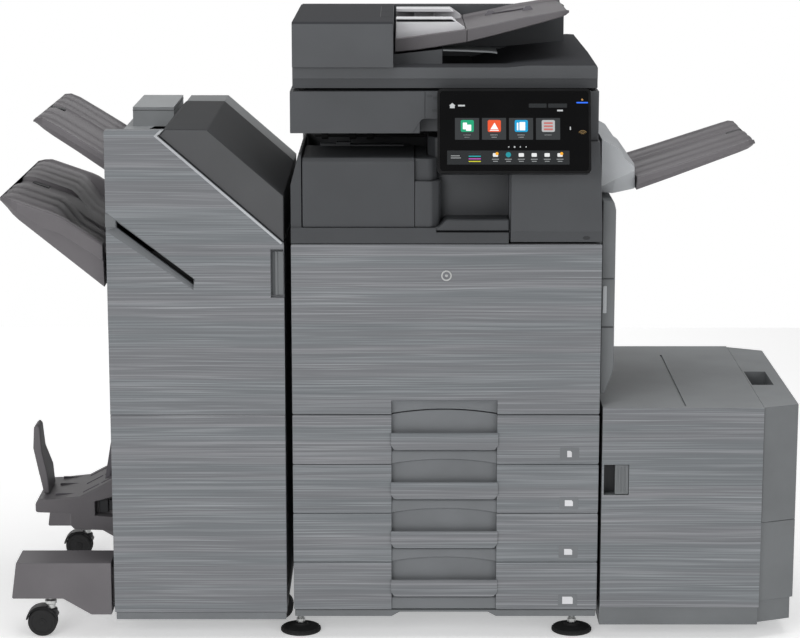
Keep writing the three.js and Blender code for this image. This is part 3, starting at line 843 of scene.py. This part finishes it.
def size_plate(number, top):
    """Plate with a blank sheet on it, in place of the paper size."""
    body = f"drawer_{number}"
    label = Form()
    z0, z1 = top - 91, top - 66
    label.prism("y", rect(225, 263, z0, z1, 2.5), FRONT - 0.5, FRONT + 0.6)
    label.piece(f"size_plate_{number}", body, PANEL_SMOOTH, 0.3)
    icon = Form()
    height, width = ((13, 9), (12, 16), (12, 16), (15, 21))[number - 1]
    centre = (z0 + z1) / 2
    left, right = 244 - width / 2, 244 + width / 2
    low, high = centre - height / 2, centre + height / 2
    icon.prism("y", [(left, low), (right, low), (right, high - 3), (right - 3, high), (left, high)],
               FRONT - 0.8, FRONT)
    icon.piece(f"size_sheet_{number}", body, LIGHT, 0.15)


def drawer_inside(number, top, floor_z):
    """Tray, lift plate and the fences that hold the paper."""
    body = f"drawer_{number}"
    dress(f"drawer_tray_{number}", INNER, 1.0)
    fit = Form().box(-215, 215, -255, 210, floor_z, floor_z + 1.6)
    fit.piece(f"lift_plate_{number}", body, STEEL, 0.4)
    fences = Form().box(-3, 3, 214, 222, floor_z, top - 26)
    fences.box(-40, 40, 212, 215, floor_z, top - 24)
    for y in (-262, 204):
        fences.box(-60, 60, y, y + 3, floor_z + 2, top - 24)
        fences.box(-14, 14, y - 3, y + 3, floor_z + 2, floor_z + 10)
    fences.piece(f"paper_fences_{number}", body, LIGHT, 0.6)


def right_side():
    dress("right_side_door", SIDE, 2.2, 3)
    dress("bypass_tray", SIDE, 1.2, 3)
    seam = Form().box(304.5, 327.5, -287.2, -285.4, 729.5, 731)
    seam.box(304.5, 327.5, -287.2, -285.4, 633, 635)
    seam.piece("side_door_seams", "side_door", INNER, 0.2)
    plate = Form().prism("y", rect(307, 314, 662, 716, 1.5, 3), -287.2, -285.6)
    plate.piece("side_door_plate", "side_door", EXIT, 0.3)
    # A thin dark sheet where the grip recess is: painted shade.
    grip = Form().prism("x", rect(-75, 55, 700, 722, 9), 329.6, 330.2)
    grip.piece("bypass_grip_painted_shade", "bypass", INNER, 0.1)


def exit_unit():
    """Housing of the right exit, with a bevelled front end."""
    unit = Form()
    front = rounded([
        (303, 1000), (342, 978, 6), (349, 960, 6), (368, 945, 8), (367, 938, 4), (330, 921, 10), (303, 907),
    ], 0, 3)
    full = rounded([
        (302.6, 1002), (343, 980, 6), (350, 962, 6), (371, 947, 8), (373, 898, 4), (328, 888, 10),
        (302.6, 891),
    ], 0, 3)
    unit.loft([[(x, y, z) for x, z in ring] for ring, y in ((front, -250), (full, -212), (full, 160))])
    unit.piece("exit_housing", "machine", EXIT, 1.6, 3, angle=20, replaces=("exit_unit",))


def ribbed_tray(name, body, node, stations, section, band):
    """A tray lofted along its length. section(t) gives [y, lift] points of its upper side, front to rear;
    stations are [x, upper z, lower z, inset] from root to tip. A rim as high as the band stands proud of
    the underside, and thins towards the tip."""
    form = Form()
    rings = []
    for i, (x, upper, lower, inset) in enumerate(stations):
        points = section(i / (len(stations) - 1))
        y0, y1 = points[0][0], points[-1][0]
        ring = []
        for y, lift in points:
            ring.append((x, min(max(y, y0 + inset), y1 - inset), upper + lift))
        rim = min(band, max(3.6, 0.55 * (upper - lower)))
        lower = min(lower, upper - rim - 2)
        ring += [
            (x, y1 - inset, upper - rim), (x, y1 - inset - 10, upper - rim - 1),
            (x, y1 - inset - 18, lower), (x, y0 + inset + 18, lower),
            (x, y0 + inset + 10, upper - rim - 1), (x, y0 + inset, upper - rim),
        ]
        rings.append(ring)
    form.loft(rings)
    form.piece(name, body, TRAY, 1.4, 3, angle=24, replaces=(node,))


def rib_section(y0, y1, ribs, channel, depth, rim=4):
    """Upper side of a tray: a rim at each side, raised ribs, and a channel along the middle."""
    points = [(y0, -3), (y0 + 3, 0), (y0 + 14, 0), (y0 + 20, -rim)]
    for a, b, lift in ribs:
        if b < channel[0]:
            points += [(a, -rim), (a + 5, lift - rim), (b - 5, lift - rim), (b, -rim)]
    points += [(channel[0], -rim), (channel[0] + 5, -depth), (channel[1] - 5, -depth), (channel[1], -rim)]
    for a, b, lift in ribs:
        if a > channel[1]:
            points += [(a, -rim), (a + 5, lift - rim), (b - 5, lift - rim), (b, -rim)]
    points += [(y1 - 20, -rim), (y1 - 14, 0), (y1 - 3, 0), (y1, -3)]
    return points


def hook_slot(name, body, xs, ys, zs):
    """Dark slot at the tip of a tray's middle channel, sloping from zs[0] to zs[1]."""
    form = Form().loft([
        [(x, ys[0], z - 4), (x, ys[1], z - 4), (x, ys[1], z + 0.8), (x, ys[0], z + 0.8)]
        for x, z in zip(xs, zs)
    ])
    form.piece(name, body, INNER, 0.4)


def right_exit_tray():
    section = rib_section(-245, 100, ((-190, -150, 1.6), (-125, -85, 1.6), (15, 60, 1.6)), (-62, -8), 6, 2)
    stations = [(373.8, 925, 897, 0), (440, 946, 921, 0), (520, 972, 951, 0), (575, 990, 971, 4),
                (592, 996, 977, 10), (602, 996, 982, 20), (606, 990, 985, 30)]
    ribbed_tray("exit_tray_shell", "machine", "exit_tray", stations, lambda t: section, 14)
    hook_slot("exit_tray_slot", "machine", (572, 600), (-60, -36), (985.5, 993))


# ---------------------------------------------------------------- scanner and document feeder
def scanner():
    dress("scanner_housing", DARK_MID_SHADED, 1.6, 3)
    fascia = Form()
    outline = rounded([
        (-302, 1017.8, 4), (-66, 1017.8, 10), (-48, 1046, 12), (108, 1046), (108, 1098.2), (-302, 1098.2, 3),
    ], 0, 6)
    fascia.prism("y", outline, FRONT + 8.6, FRONT + 10.4)
    gap = Form().box(-42.6, -41.4, FRONT + 7, FRONT + 12, 1010, 1100)
    fascia.carve(gap)
    fascia.piece("scanner_fascia", "machine", DARK_MID_SHADED, 1.0, 3)
    clips = Form()
    for x, z in ((-34, 1090), (-22, 1086), (-24, 1062)):
        clips.prism("y", rect(x - 5, x + 5, z - 3, z + 3, 1.5, 3), FRONT + 8.2, FRONT + 9)
    clips.piece("fascia_clips", "machine", DARK_LOW_SHADED, 0.3)
    finish_node("platen_glass", GLASS)
    dress("scan_carriage", BLACK, 1.0)
    strip = Form().box(-262, -250, -240, 270, 1086, 1087.6)
    strip.piece("carriage_lens_strip", "scan_carriage", GLOSS, 0.3)
    marks = Form().box(-250, 258, 241, 249, 1098.8, 1099.3)
    marks.box(-262, -251, -240, 240, 1098.8, 1099.3)
    marks.piece("platen_scale", "machine", LIGHT, 0.1)
    floor = Form().box(-284, 274, -261, 291, 1032, 1033)
    floor.piece("scanner_tub", "machine", INNER, 0.2)


def painted_top_tone(level):
    """An edit that gives the upward faces of a form its second paint, a tone painted for how light falls on
    tops: painted shade on the dark covers, painted light on the side door.
    """
    return lambda form: form.paint(1, lambda c, n: n.z > level)


def base_painted_shade(form):
    """Painted shade: the recessed lower band and the upward faces of the feeder base get darker paints."""
    form.paint(1, lambda c, n: n.y < -0.9 and c.z < 1122)
    form.paint(2, lambda c, n: n.z > 0.7)


def feeder():
    # The feeder's upward faces get the darker top paint: painted shade.
    dress("adf_base", [DARK, DARK_LOW_SHADED, DARK_TOP_SHADED], 2.0, 3, base_painted_shade)
    dress("adf_feed_cover", [DARK, DARK_TOP_SHADED], 3.0, 4, painted_top_tone(0.7))
    dress("adf_pickup_roller", RUBBER, 0.6)
    hatch = Form()
    for x0, x1 in ((-129, -128), (-104, -103.4)):
        hatch.box(x0, x1, -190, 88, 1231.6, 1232.3)
    for y in (-190, -60, 87):
        hatch.box(-129, -103.4, y, y + 1, 1231.6, 1232.3)
    hatch.piece("cover_hatch_line", "adf_cover", INNER, 0)
    backing = Form().prism("z", rect(-262, 262, -248, 246, 6), 1101.6, 1104.7)
    backing.piece("platen_backing", "adf_lid", LIGHT, 1.2, 3)
    bumpers = Form()
    for x in (-280, 280):
        for y in (-284, 288):
            bumpers.lathe("z", [(0, 1100.2), (5, 1100.2), (6, 1101), (6, 1104.8), (0, 1104.8)],
                          (x, y, 0), 24)
    bumpers.piece("lid_bumpers", "adf_lid", RUBBER, 0.3)
    lip = Form()
    section = ((-222, 1168.5), (-219, 1171.5), (-150, 1172.5), (-150, 1168.5))
    lip.loft([
        [(x, y, z - drop) for y, z in section] for x, drop in ((-7, 0), (40, 1.2), (88, 3.5), (99, 5.5))
    ])
    lip.piece("exit_stopper_lip", "adf_lid", SIDE, 0.8)
    # A thin dark sheet on the well floor under the feed tray: painted shade.
    well = Form().box(-8, 58, -214, 139, 1124.4, 1125.4)
    well.piece("exit_well_floor_painted_shade", "adf_lid", INNER, 0.2)


def feed_tray_part(name, stations):
    """A dished length of the feed tray; stations are [x, lower z, upper z, front y, rear y]."""
    rings = []
    for x, low, high, y0, y1 in stations:
        rings.append([
            (x, y0, low + 2), (x, y0, high - 1.5), (x, y0 + 1.5, high), (x, y0 + 9, high),
            (x, y0 + 15, high - 5), (x, y1 - 14, high - 5), (x, y1 - 9, high), (x, y1 - 1.5, high),
            (x, y1, high - 1.5), (x, y1, low + 2), (x, y1 - 6, low), (x, y0 + 6, low),
        ])
    Form().loft(rings).piece(name, "feed_tray", TRAY, 1.0, 3, replaces=("adf_feed_tray",))


def feed_tray():
    feed_tray_part("feed_tray_root", [
        (-99.8, 1165, 1192.5, -220, 149), (-60, 1169, 1197.5, -220, 149), (-20, 1175, 1203, -220, 149),
        (10, 1180, 1207, -220, 149), (39.4, 1184.5, 1211, -220, 149),
    ])
    feed_tray_part("feed_tray_flap", [
        (40.4, 1184.7, 1211, -220, 149), (95, 1198, 1222, -220, 149), (150, 1212.5, 1234, -219, 149),
        (200, 1226, 1242, -216, 147), (222, 1232, 1245.5, -210, 143), (233, 1236, 1246.5, -200, 136),
        (240, 1239.5, 1244, -184, 122),
    ])
    stop = Form()
    for x, y, z in ((95, 78, 1216), (168, 0, 1230.5)):
        stop.loft([
            [(x - 11, y - 9, z - 1), (x + 11, y - 9, z + 3), (x + 11, y + 9, z + 3), (x - 11, y + 9, z - 1)],
            [(x - 4, y - 4, z + 9), (x + 5, y - 4, z + 10), (x + 5, y + 4, z + 10), (x - 4, y + 4, z + 9)],
        ])
    stop.tube([(100, 70, 1219), (120, 50, 1224), (148, 22, 1230.5), (163, 6, 1234.5)], 1.6)
    stop.piece("sheet_stop", "feed_tray", TRAY_LOW, 1.2, 3)


def side_guides():
    """Two mirrored guides: an upright wall with a flat shelf over the paper."""
    for name, y, facing in (("front", -200, 1), ("rear", 130, -1)):
        wall = Form().prism("y", rounded([
            (-98, 1189.5), (36, 1205), (36, 1213, 5), (14, 1229, 8), (-98, 1229),
        ], 0, 5), 0, 5)
        wall.prism("y", rounded([(-98, 1222.5), (20, 1222.5), (12, 1229, 3), (-98, 1229)], 0, 4), 0, 62)
        for x in (-60, -20):
            wall.box(x - 1, x + 1, 4, 30, 1206, 1223)
        wall.turn(Matrix.Translation((0, y, 0)) @ Matrix.Diagonal((1, facing, 1, 1)))
        if facing < 0:
            bmesh.ops.reverse_faces(wall.bm, faces=wall.bm.faces)
        wall.piece(f"side_guide_{name}", f"guide_{name}", LIGHT, 1.6, 3, replaces=(f"adf_guide_{name}",))


# ---------------------------------------------------------------- operation panel
def on_panel(form):
    """Panel parts are drawn flat, x across, y outwards, z up from the top edge, then tilted."""
    return form.turn(Matrix.Translation(SCREEN_PLACE) @ Matrix.Rotation(-SCREEN_TILT, 4, "X"))


def screen_part(shapes, name, paint, depth=0.25, lift=0.0):
    """Flat marks on the display: each shape is an outline of [x, z] on the panel."""
    form = Form()
    for outline in shapes:
        form.prism("y", outline, 0.2 - depth - lift, 0.2 - lift)
    on_panel(form).piece(name, "panel", paint, 0)


def dot(x, z, r):
    turns = [2 * math.pi * k / 16 for k in range(16)]
    return [(x + r * math.cos(t), z + r * math.sin(t)) for t in turns]


def home_cards():
    """Four cards with plain coloured tiles, and generic glyphs on them."""
    lefts = [CARD_LEFT + k * CARD_PITCH for k in range(CARD_COUNT)]
    cards = [rect(x, x + CARD_WIDTH, -99, -57, 1) for x in lefts]
    screen_part(cards, "screen_cards", lit("screen_card", "3a3d3f", 0.35))
    tiles = [x + 11 for x in lefts]
    for k, code in enumerate(("1fa577", "ee5a33", "14a3d8", "b9babb")):
        name = f"screen_tile_{k + 1}"
        screen_part([rect(tiles[k], tiles[k] + 25, -84, -61, 3)], name, lit(name, code), 0.3, 0.2)
    first, second, third, fourth = tiles
    glyphs = [
        rect(first + 4, first + 12, -79, -66, 1), rect(first + 10, first + 20, -82, -70, 1),
        [(second + 5, -79), (second + 20, -79), (second + 13, -66)],
        rect(second + 4, second + 21, -82, -80.5),
        rect(third + 9, third + 20, -81, -65, 1), rect(third + 4, third + 7, -81, -66, 1),
    ]
    screen_part(glyphs, "screen_glyphs", lit("screen_white", "f0f2f3", 0.7), 0.3, 0.45)
    rows = [rect(fourth + 4, fourth + 21, z - 1.6, z + 1.6) for z in (-67, -73, -79)]
    screen_part(rows, "screen_rows", lit("screen_rose", "c9716c", 0.5), 0.3, 0.45)


def screen_bars():
    """Plain bars and dots where the display has text, and the bars behind them."""
    lines = []
    for k in range(CARD_COUNT):
        x = CARD_LEFT + k * CARD_PITCH + CARD_WIDTH / 2
        lines.append(rect(x - 7, x + 7, -90.5, -89))
        if k < 3:
            lines.append(rect(x - 5, x + 5, -95, -93.5))
    lines += [dot(0.5 + 11 * k, -113, 1.2 if k else 1.7) for k in range(-1, 3)]
    lines += [
        [(-124, -33), (-118, -28), (-112, -33), (-113.5, -33), (-113.5, -38), (-122.5, -38), (-122.5, -33)],
        rect(-107, -94, -34.5, -31.5), rect(106, 108, -80, -74), rect(82, 93, -44, -41),
    ]
    screen_part(lines, "screen_lines", lit("screen_soft", "c8cbcc", 0.5))
    bars = [rect(-128, 105, -147, -120, 1), rect(28, 62, -37, -29, 1), rect(65, 101, -37, -29, 1)]
    screen_part(bars, "screen_bars", lit("screen_bar", "2b2e30", 0.3), 0.15)


def status_bar():
    """Toner levels and a row of small icons along the foot of the display."""
    for k, code in enumerate(("2f3436", "1fb0b5", "c65bbd", "d2cf2c")):
        z = -126 - 5 * k
        name = f"screen_level_{k + 1}"
        screen_part([rect(-87, -64, z - 0.9, z + 0.9)], name, lit(name, code), 0.3, 0.1)
    note = [rect(-121, -104, -131, -129.5), rect(-121, -102, -135, -133.5)]
    screen_part(note, "screen_note", lit("screen_note", "a6a9aa", 0.4), 0.3, 0.1)
    icons, captions = [], []
    for k in range(6):
        x = -36 + k * 24.6
        if k != 1:
            icons.append(rect(x - 5, x + 5, -132, -125, 1.4, 3))
        captions += [rect(x - 6.5, x + 6.5, -137.5, -136), rect(x - 4.5, x + 4.5, -141.5, -140)]
    screen_part(icons, "screen_icons", lit("screen_icon", "e4e6e6", 0.6), 0.3, 0.1)
    screen_part(captions, "screen_captions", lit("screen_caption", "9fa3a4", 0.35), 0.3, 0.1)
    screen_part([dot(-11.4, -128, 5)], "screen_wheel", lit("screen_teal", "21909a", 0.6), 0.3, 0.1)
    marks = [dot(-33, -126, 3), dot(90, -126, 3)]
    screen_part(marks, "screen_marks", lit("screen_amber", "f0a92c", 0.7), 0.3, 0.5)


def operation_panel():
    dress("control_panel", BEZEL, 1.6, 4)
    dress("touch_screen", GLOSS, 0.4, 2)
    home_cards()
    screen_bars()
    status_bar()
    screen_part([rect(119, 141, -28.5, -26, 1)], "status_lamp", lit("lamp_blue", "2a62d8", 1.2), 0.3)
    screen_part([dot(130, -21.5, 2)], "power_mark", lit("lamp_amber", "b98d55", 0.5), 0.3)
    reader = Form()
    for k, r in enumerate((3.2, 6.0, 8.8)):
        path = []
        for step in range(9):
            angle = math.radians(35 + 110 * step / 8)
            path.append((130.5 + r * math.cos(angle), -0.1, -90 + r * math.sin(angle)))
        reader.tube(path, 0.55, 6)
    # The printed reader mark is given a faint glow: painted light.
    on_panel(reader).piece("reader_mark", "panel", lit("mark_gold_painted_glow", "a98955", 0.25), 0)
    arm = Form().prism("y", rect(95, 160, 1056, 1078, 4), FRONT + 1, FRONT + 5)
    arm.piece("panel_pivot_cover", "machine", DARK_LOW_SHADED, 0.8)


# ---------------------------------------------------------------- finisher
def finisher_cabinet():
    """Body with its support wheel, plinth and rear box."""
    cabinet = skin("finisher_cabinet")
    cabinet.paint(1, lambda c, n: (
        c.z < 61 and -190 < c.y < -150 and abs(c.x + 336) < 30 and abs(c.z - 42) > 0.5))
    cabinet.paint(2, lambda c, n: n.y < -0.9 and c.y < FRONT + 2)
    # The finisher's rear box gets the lighter paint: painted light on faces that fall in shade.
    cabinet.paint(3, lambda c, n: c.z > 984 and c.x < -559 and c.y > 78)
    cabinet.piece("finisher_cabinet_shell", "finisher", [SIDE, RUBBER, PANEL_SMOOTH, SIDE_TOP_LIT], 1.8, 3,
                  replaces=("finisher_cabinet",))
    lid = Form().box(-645.6, -559.4, 79.4, 312.4, 1018.2, 1019)
    lid.piece("rear_box_seam", "finisher", INNER, 0)


def finisher_upper_door():
    """Cladding with a funnelled slot, a rim strip painted light as a highlight along its sloped edge, and a
    hand grip.
    """
    upper = skin("finisher_upper_door")
    lips = Form().loft([
        [(x, FRONT - 1, z) for x, z in ((-664, 870), (-489, 734), (-492.6, 711), (-664, 829))],
        [(x, FRONT + 9, z) for x, z in ((-640.5, 846), (-492.4, 733), (-492.4, 721), (-640.5, 834))],
    ])
    upper.carve(lips)
    upper.bm.normal_update()
    upper.paint(1, lambda c, n: FRONT + 0.4 < c.y < FRONT + 12)
    upper.paint(1, lambda c, n: n.z > 0.3 and c.z > 700)
    upper.piece("finisher_upper_shell", "finisher_upper_door", [PANEL, PANEL_SMOOTH], 1.2, 3, angle=10,
                replaces=("finisher_upper_door",))
    # A thin light strip along the notch and slope: painted highlight of the chamfered edge.
    rim = Form()
    rim.prism("y", [(-545.6, 1024.6), (-557.6, 1013.6), (-318.6, 805.6), (-321.4, 802.4), (-564, 1013.4),
                    (-552, 1024.6)], FRONT - 0.6, FRONT + 1)
    rim.piece("upper_door_rim_painted_highlight", "finisher_upper_door", PANEL_RIM_HIGHLIGHT, 0.5)
    nose = Form()
    nose.prism("z", [(-661, FRONT - 0.4), (-641, FRONT + 1.2), (-641, FRONT + 8), (-661, FRONT + 8)],
               836, 862)
    nose.piece("slot_end_cap", "finisher_upper_door", SIDE, 0.6)
    grip = Form()
    grip.prism("z", [(-341, FRONT + 11.8), (-335, FRONT + 8), (-333, FRONT + 4), (-328, FRONT + 3.5),
                     (-328, FRONT + 11.8)], 702, 788)
    grip.prism("z", [(-328, FRONT + 11.8), (-328, FRONT + 5), (-317, FRONT + 4), (-317, FRONT + 11.8)],
               702, 788)
    grip.piece("door_grip", "finisher_upper_door", SIDE, 1.0, 3)


def finisher_covers():
    """Lower door, sloped top cover and the two outriggers."""
    dress("finisher_lower_door", PANEL, 1.4, 3)
    # Upward faces of the top cover get the darker paint: painted shade.
    dress("finisher_top_cover", [COVER, COVER_TOP_SHADED], 5.0, 5, painted_top_tone(0.3))
    dress("outrigger_front", TRAY, 5.0, 4)
    dress("outrigger_rear", TRAY, 5.0, 4)


def finisher_inside():
    """Guards, rollers and jam-release knobs behind the doors."""
    inside = Form().box(-648, -328, -262, -258, 78, 452)
    inside.box(-648, -328, -262, -258, 470, 780)
    for z in (180, 300, 560, 690):
        inside.lathe("x", [(0, -640), (9, -640), (9, -336), (0, -336)], (0, -270, z), 24)
    inside.piece("finisher_inner_guards", "finisher", INNER, 0.6)
    knobs = Form()
    for x, z in ((-610, 180), (-610, 560), (-370, 690), (-370, 300)):
        knobs.lathe("y", [(0, -284), (13, -284), (16, -281), (16, -264), (0, -264)], (x, 0, z), 32)
    knobs.piece("finisher_knobs", "finisher", BLACK, 0.8)


def upper_tray():
    section = rib_section(-260, 195, ((-215, -170, 1.6), (-140, -95, 1.6), (35, 80, 1.6), (110, 150, 1.6)),
                          (-58, -4), 5, 2)
    stations = [(-660.8, 968, 934, 0), (-720, 1005, 975, 0), (-768, 1034, 1006, 3),
                (-786, 1042, 1018, 8), (-798, 1042, 1026, 18), (-806, 1035, 1031, 30)]
    ribbed_tray("upper_tray_shell", "finisher", "finisher_upper_tray", stations, lambda t: section, 14)
    hook_slot("upper_tray_slot", "finisher", (-770, -797), (-44, -18), (1033, 1039.5))


def lower_section(t):
    """Upper side of the lower tray: three ribs on each side of a channel, dished near the root."""
    dish = 26 * (1 - smooth_step((t - 0.30) / 0.22))

    def ribs(spans):
        return [
            point for a, b in spans
            for point in ((a, -3 - dish), (a + 6, -1.4 - dish), (b - 6, -1.4 - dish), (b, -3 - dish))
        ]

    return [
        (-295, -4), (-291, 0), (-278, 0), (-270, -3),
        *ribs(((-250, -205), (-185, -140), (-120, -75))),
        (-56, -3 - dish), (-48, -10 - dish * 0.6), (30, -10 - dish * 0.6), (38, -3 - dish),
        *ribs(((75, 120), (140, 185), (205, 250))),
        (275, -3), (283, 0), (296, 0), (300, -4),
    ]


def lower_tray():
    stations = []
    for k in range(17):
        t = k / 16
        x = -669 - 202 * t
        upper = 799 + (-666 - x) * 0.655 if x > -750 else 854 + (-750 - x) * 0.35
        upper -= 9 * smooth_step((t - 0.9) / 0.1)
        lower = 712 + 164 * t
        inset = 34 * smooth_step((t - 0.80) / 0.20) ** 1.5
        stations.append((x, upper, lower, inset))
    ribbed_tray("lower_tray_shell", "offset_tray", "finisher_lower_tray", stations, lower_section, 34)
    hook_slot("lower_tray_slot", "offset_tray", (-812, -846), (2, 26), (866.5, 878))


def booklet_tray():
    body = Form()
    outline = rounded([
        (-837, 218, 5), (-837, 238, 7), (-828, 245, 3), (-803, 246), (-746, 252), (-681, 286), (-660.6, 294),
        (-660.6, 176), (-698, 180), (-758, 182, 4), (-766, 190, 2), (-766, 216),
    ], 0, 4)
    body.prism("y", outline, -150, 30)
    pocket = Form().prism("y", [(-715, 211), (-715, 241), (-650, 258), (-650, 206)], -160, -124)
    body.carve(pocket)
    body.piece("booklet_tray_shell", "finisher", TRAY, 2.2, 3, replaces=("booklet_tray",))
    fin = Form().loft([
        [(x0, y0, z), (x1, y0, z), (x1, y1, z), (x0, y1, z)]
        for x0, x1, y0, y1, z in ((-702, -690, -105, -35, 258), (-687, -677, -88, -48, 352))
    ])
    fin.piece("booklet_guide_fin", "finisher", TRAY_LOW, 2.4, 3)
    ribs = Form()
    for y0, y1 in ((-128, -122), (-62, -56), (2, 8)):
        for ends in ((-742, -708), (-704, -668)):
            rings = []
            for x in ends:
                surface = 252 + (x + 746) * 34 / 65
                rings.append([(x, y0, surface - 1), (x, y1, surface - 1), (x, y1 - 1, surface + 1.6),
                              (x, y0 + 1, surface + 1.6)])
            ribs.loft(rings)
    for y in (-120, -40, 12):
        ribs.box(-800, -758, y, y + 5, 246, 250.5)
    ribs.piece("booklet_tray_ribs", "finisher", TRAY_LOW, 0.5)
    latch = Form().box(-708, -690, -134, -125, 214, 242)
    latch.box(-688, -670, -132, -125, 218, 240)
    latch.piece("booklet_tray_latch", "finisher", INNER, 0.8)
    dress("booklet_paddle", TRAY, 2.6, 4)


def caster(end, x, y):
    """Twin wheels under a hood, on a plated stem with a lock nut."""
    trail, axle = 17, 29.2
    wheel = Form()
    for y0, y1 in ((-15, -4), (4, 15)):
        wheel.lathe("y", [
            (5.2, y0), (8, y0), (9, y0 + 1), (20, y0 + 1.4), (22, y0), (25.5, y0), (28.4, y0 + 2),
            (29.1, y0 + 4), (29.1, y1 - 4), (28.4, y1 - 2), (25.5, y1), (5.2, y1),
        ], (x - trail, y, axle), 48)
    wheel.lathe("y", [(0, -15.4), (4.6, -15.4), (5.4, -14.8), (5.4, 14.8), (4.6, 15.4), (0, 15.4)],
                (x - trail, y, axle), 24)
    wheel.piece(f"caster_{end}_tyres", f"caster_{end}_wheel", RUBBER, 0.5,
                replaces=(f"caster_{end}_wheel",))
    hood = Form()
    rings = []
    for k in range(15):
        angle = math.radians(20 + 150 * k / 14)
        out = Vector((math.cos(angle), 0, math.sin(angle)))
        centre = Vector((x - trail, y, axle))
        ring = []
        for r, w in ((30.6, -17), (33.5, -14), (33.8, 14), (30.6, 17), (29.8, 14), (29.8, -14)):
            point = centre + out * r
            ring.append((point.x, y + w, point.z))
        rings.append(ring)
    hood.loft(rings)
    hood.prism("y", rounded([(x + 8, 54, 4), (x - 6, 54, 4), (x - 31, 42, 8), (x - 31, 22, 6), (x - 9, 17, 6),
                             (x + 8, 40, 6)], 0, 4), y - 3, y + 3)
    hood.lathe("z", [(0, 38), (13, 38), (13, 55), (11, 57), (0, 57)], (x, y, 0), 32)
    hood.piece(f"caster_{end}_hood", f"caster_{end}", BLACK, 0.8, replaces=(f"caster_{end}_fork",))
    stem = Form().lathe("z", [
        (0, 56), (9, 56), (9, 65), (12, 66.5), (12, 73), (9, 74.5), (5, 75), (5, 84.5), (0, 84.5),
    ], (x, y, 0), 36)
    stem.piece(f"caster_{end}_stem", f"caster_{end}", PLATED, 0.4)


# ---------------------------------------------------------------- large-capacity tray
def large_capacity_tray():
    cabinet = skin("lct_cabinet")
    cabinet.paint(1, lambda c, n: n.y < -0.9 and c.y < -311.5 and c.z > 68)
    # Upward faces of the cabinet top get the lighter paint: painted light.
    cabinet.paint(2, lambda c, n: n.z > 0.9 and c.z > 400)
    cabinet.piece("lct_shell", "lct", [SIDE, PANEL, SIDE_TOP_LIT], 1.4, 3, replaces=("lct_cabinet",))
    # Upward faces of the side door get the lighter paint: painted light.
    dress("lct_side_door", [SIDE, SIDE_TOP_LIT], 1.6, 3, painted_top_tone(0.5))
    finish_node("lct_lift_table", STEEL)
    lever = skin("lct_release_lever")
    lever.piece("lct_lever_shell", "lct_lever", SIDE, 1.2, 3, replaces=("lct_release_lever",))
    ridges = Form()
    for x in (339, 346, 353):
        ridges.box(x, x + 1.6, -311.6, -309.6, 306, 356)
    ridges.piece("lct_lever_ridges", "lct_lever", SIDE, 0.5)
    # A thin dark sheet at the back of the lever's recess: painted shade.
    well = Form().box(313.2, 361.4, -289.4, -288.6, 300.6, 361.4)
    well.piece("lct_lever_well_painted_shade", "lct", INNER, 0.2)
    screws = Form()
    for x in (322, 612):
        for z in (84, 462):
            screw(screws, x, 270, z)
    screws.piece("lct_rear_screws", "lct", PLATED, 0)


# ---------------------------------------------------------------- everything
camera()
world_light()
studio_lights()
pale_floor()
main_frame()
rear_face()
output_area()
output_step()
paper_pass()
levelling_feet()
print_engine()
front_door()
for i in range(DRAWER_COUNT):
    drawer(i)
right_side()
exit_unit()
right_exit_tray()
scanner()
feeder()
feed_tray()
side_guides()
operation_panel()
finisher_cabinet()
finisher_upper_door()
finisher_covers()
finisher_inside()
upper_tray()
lower_tray()
booklet_tray()
caster("front", -792, -277)
caster("rear", -786, 255)
large_capacity_tray()


def plain(bounds):
    return [list(corner) for corner in bounds]
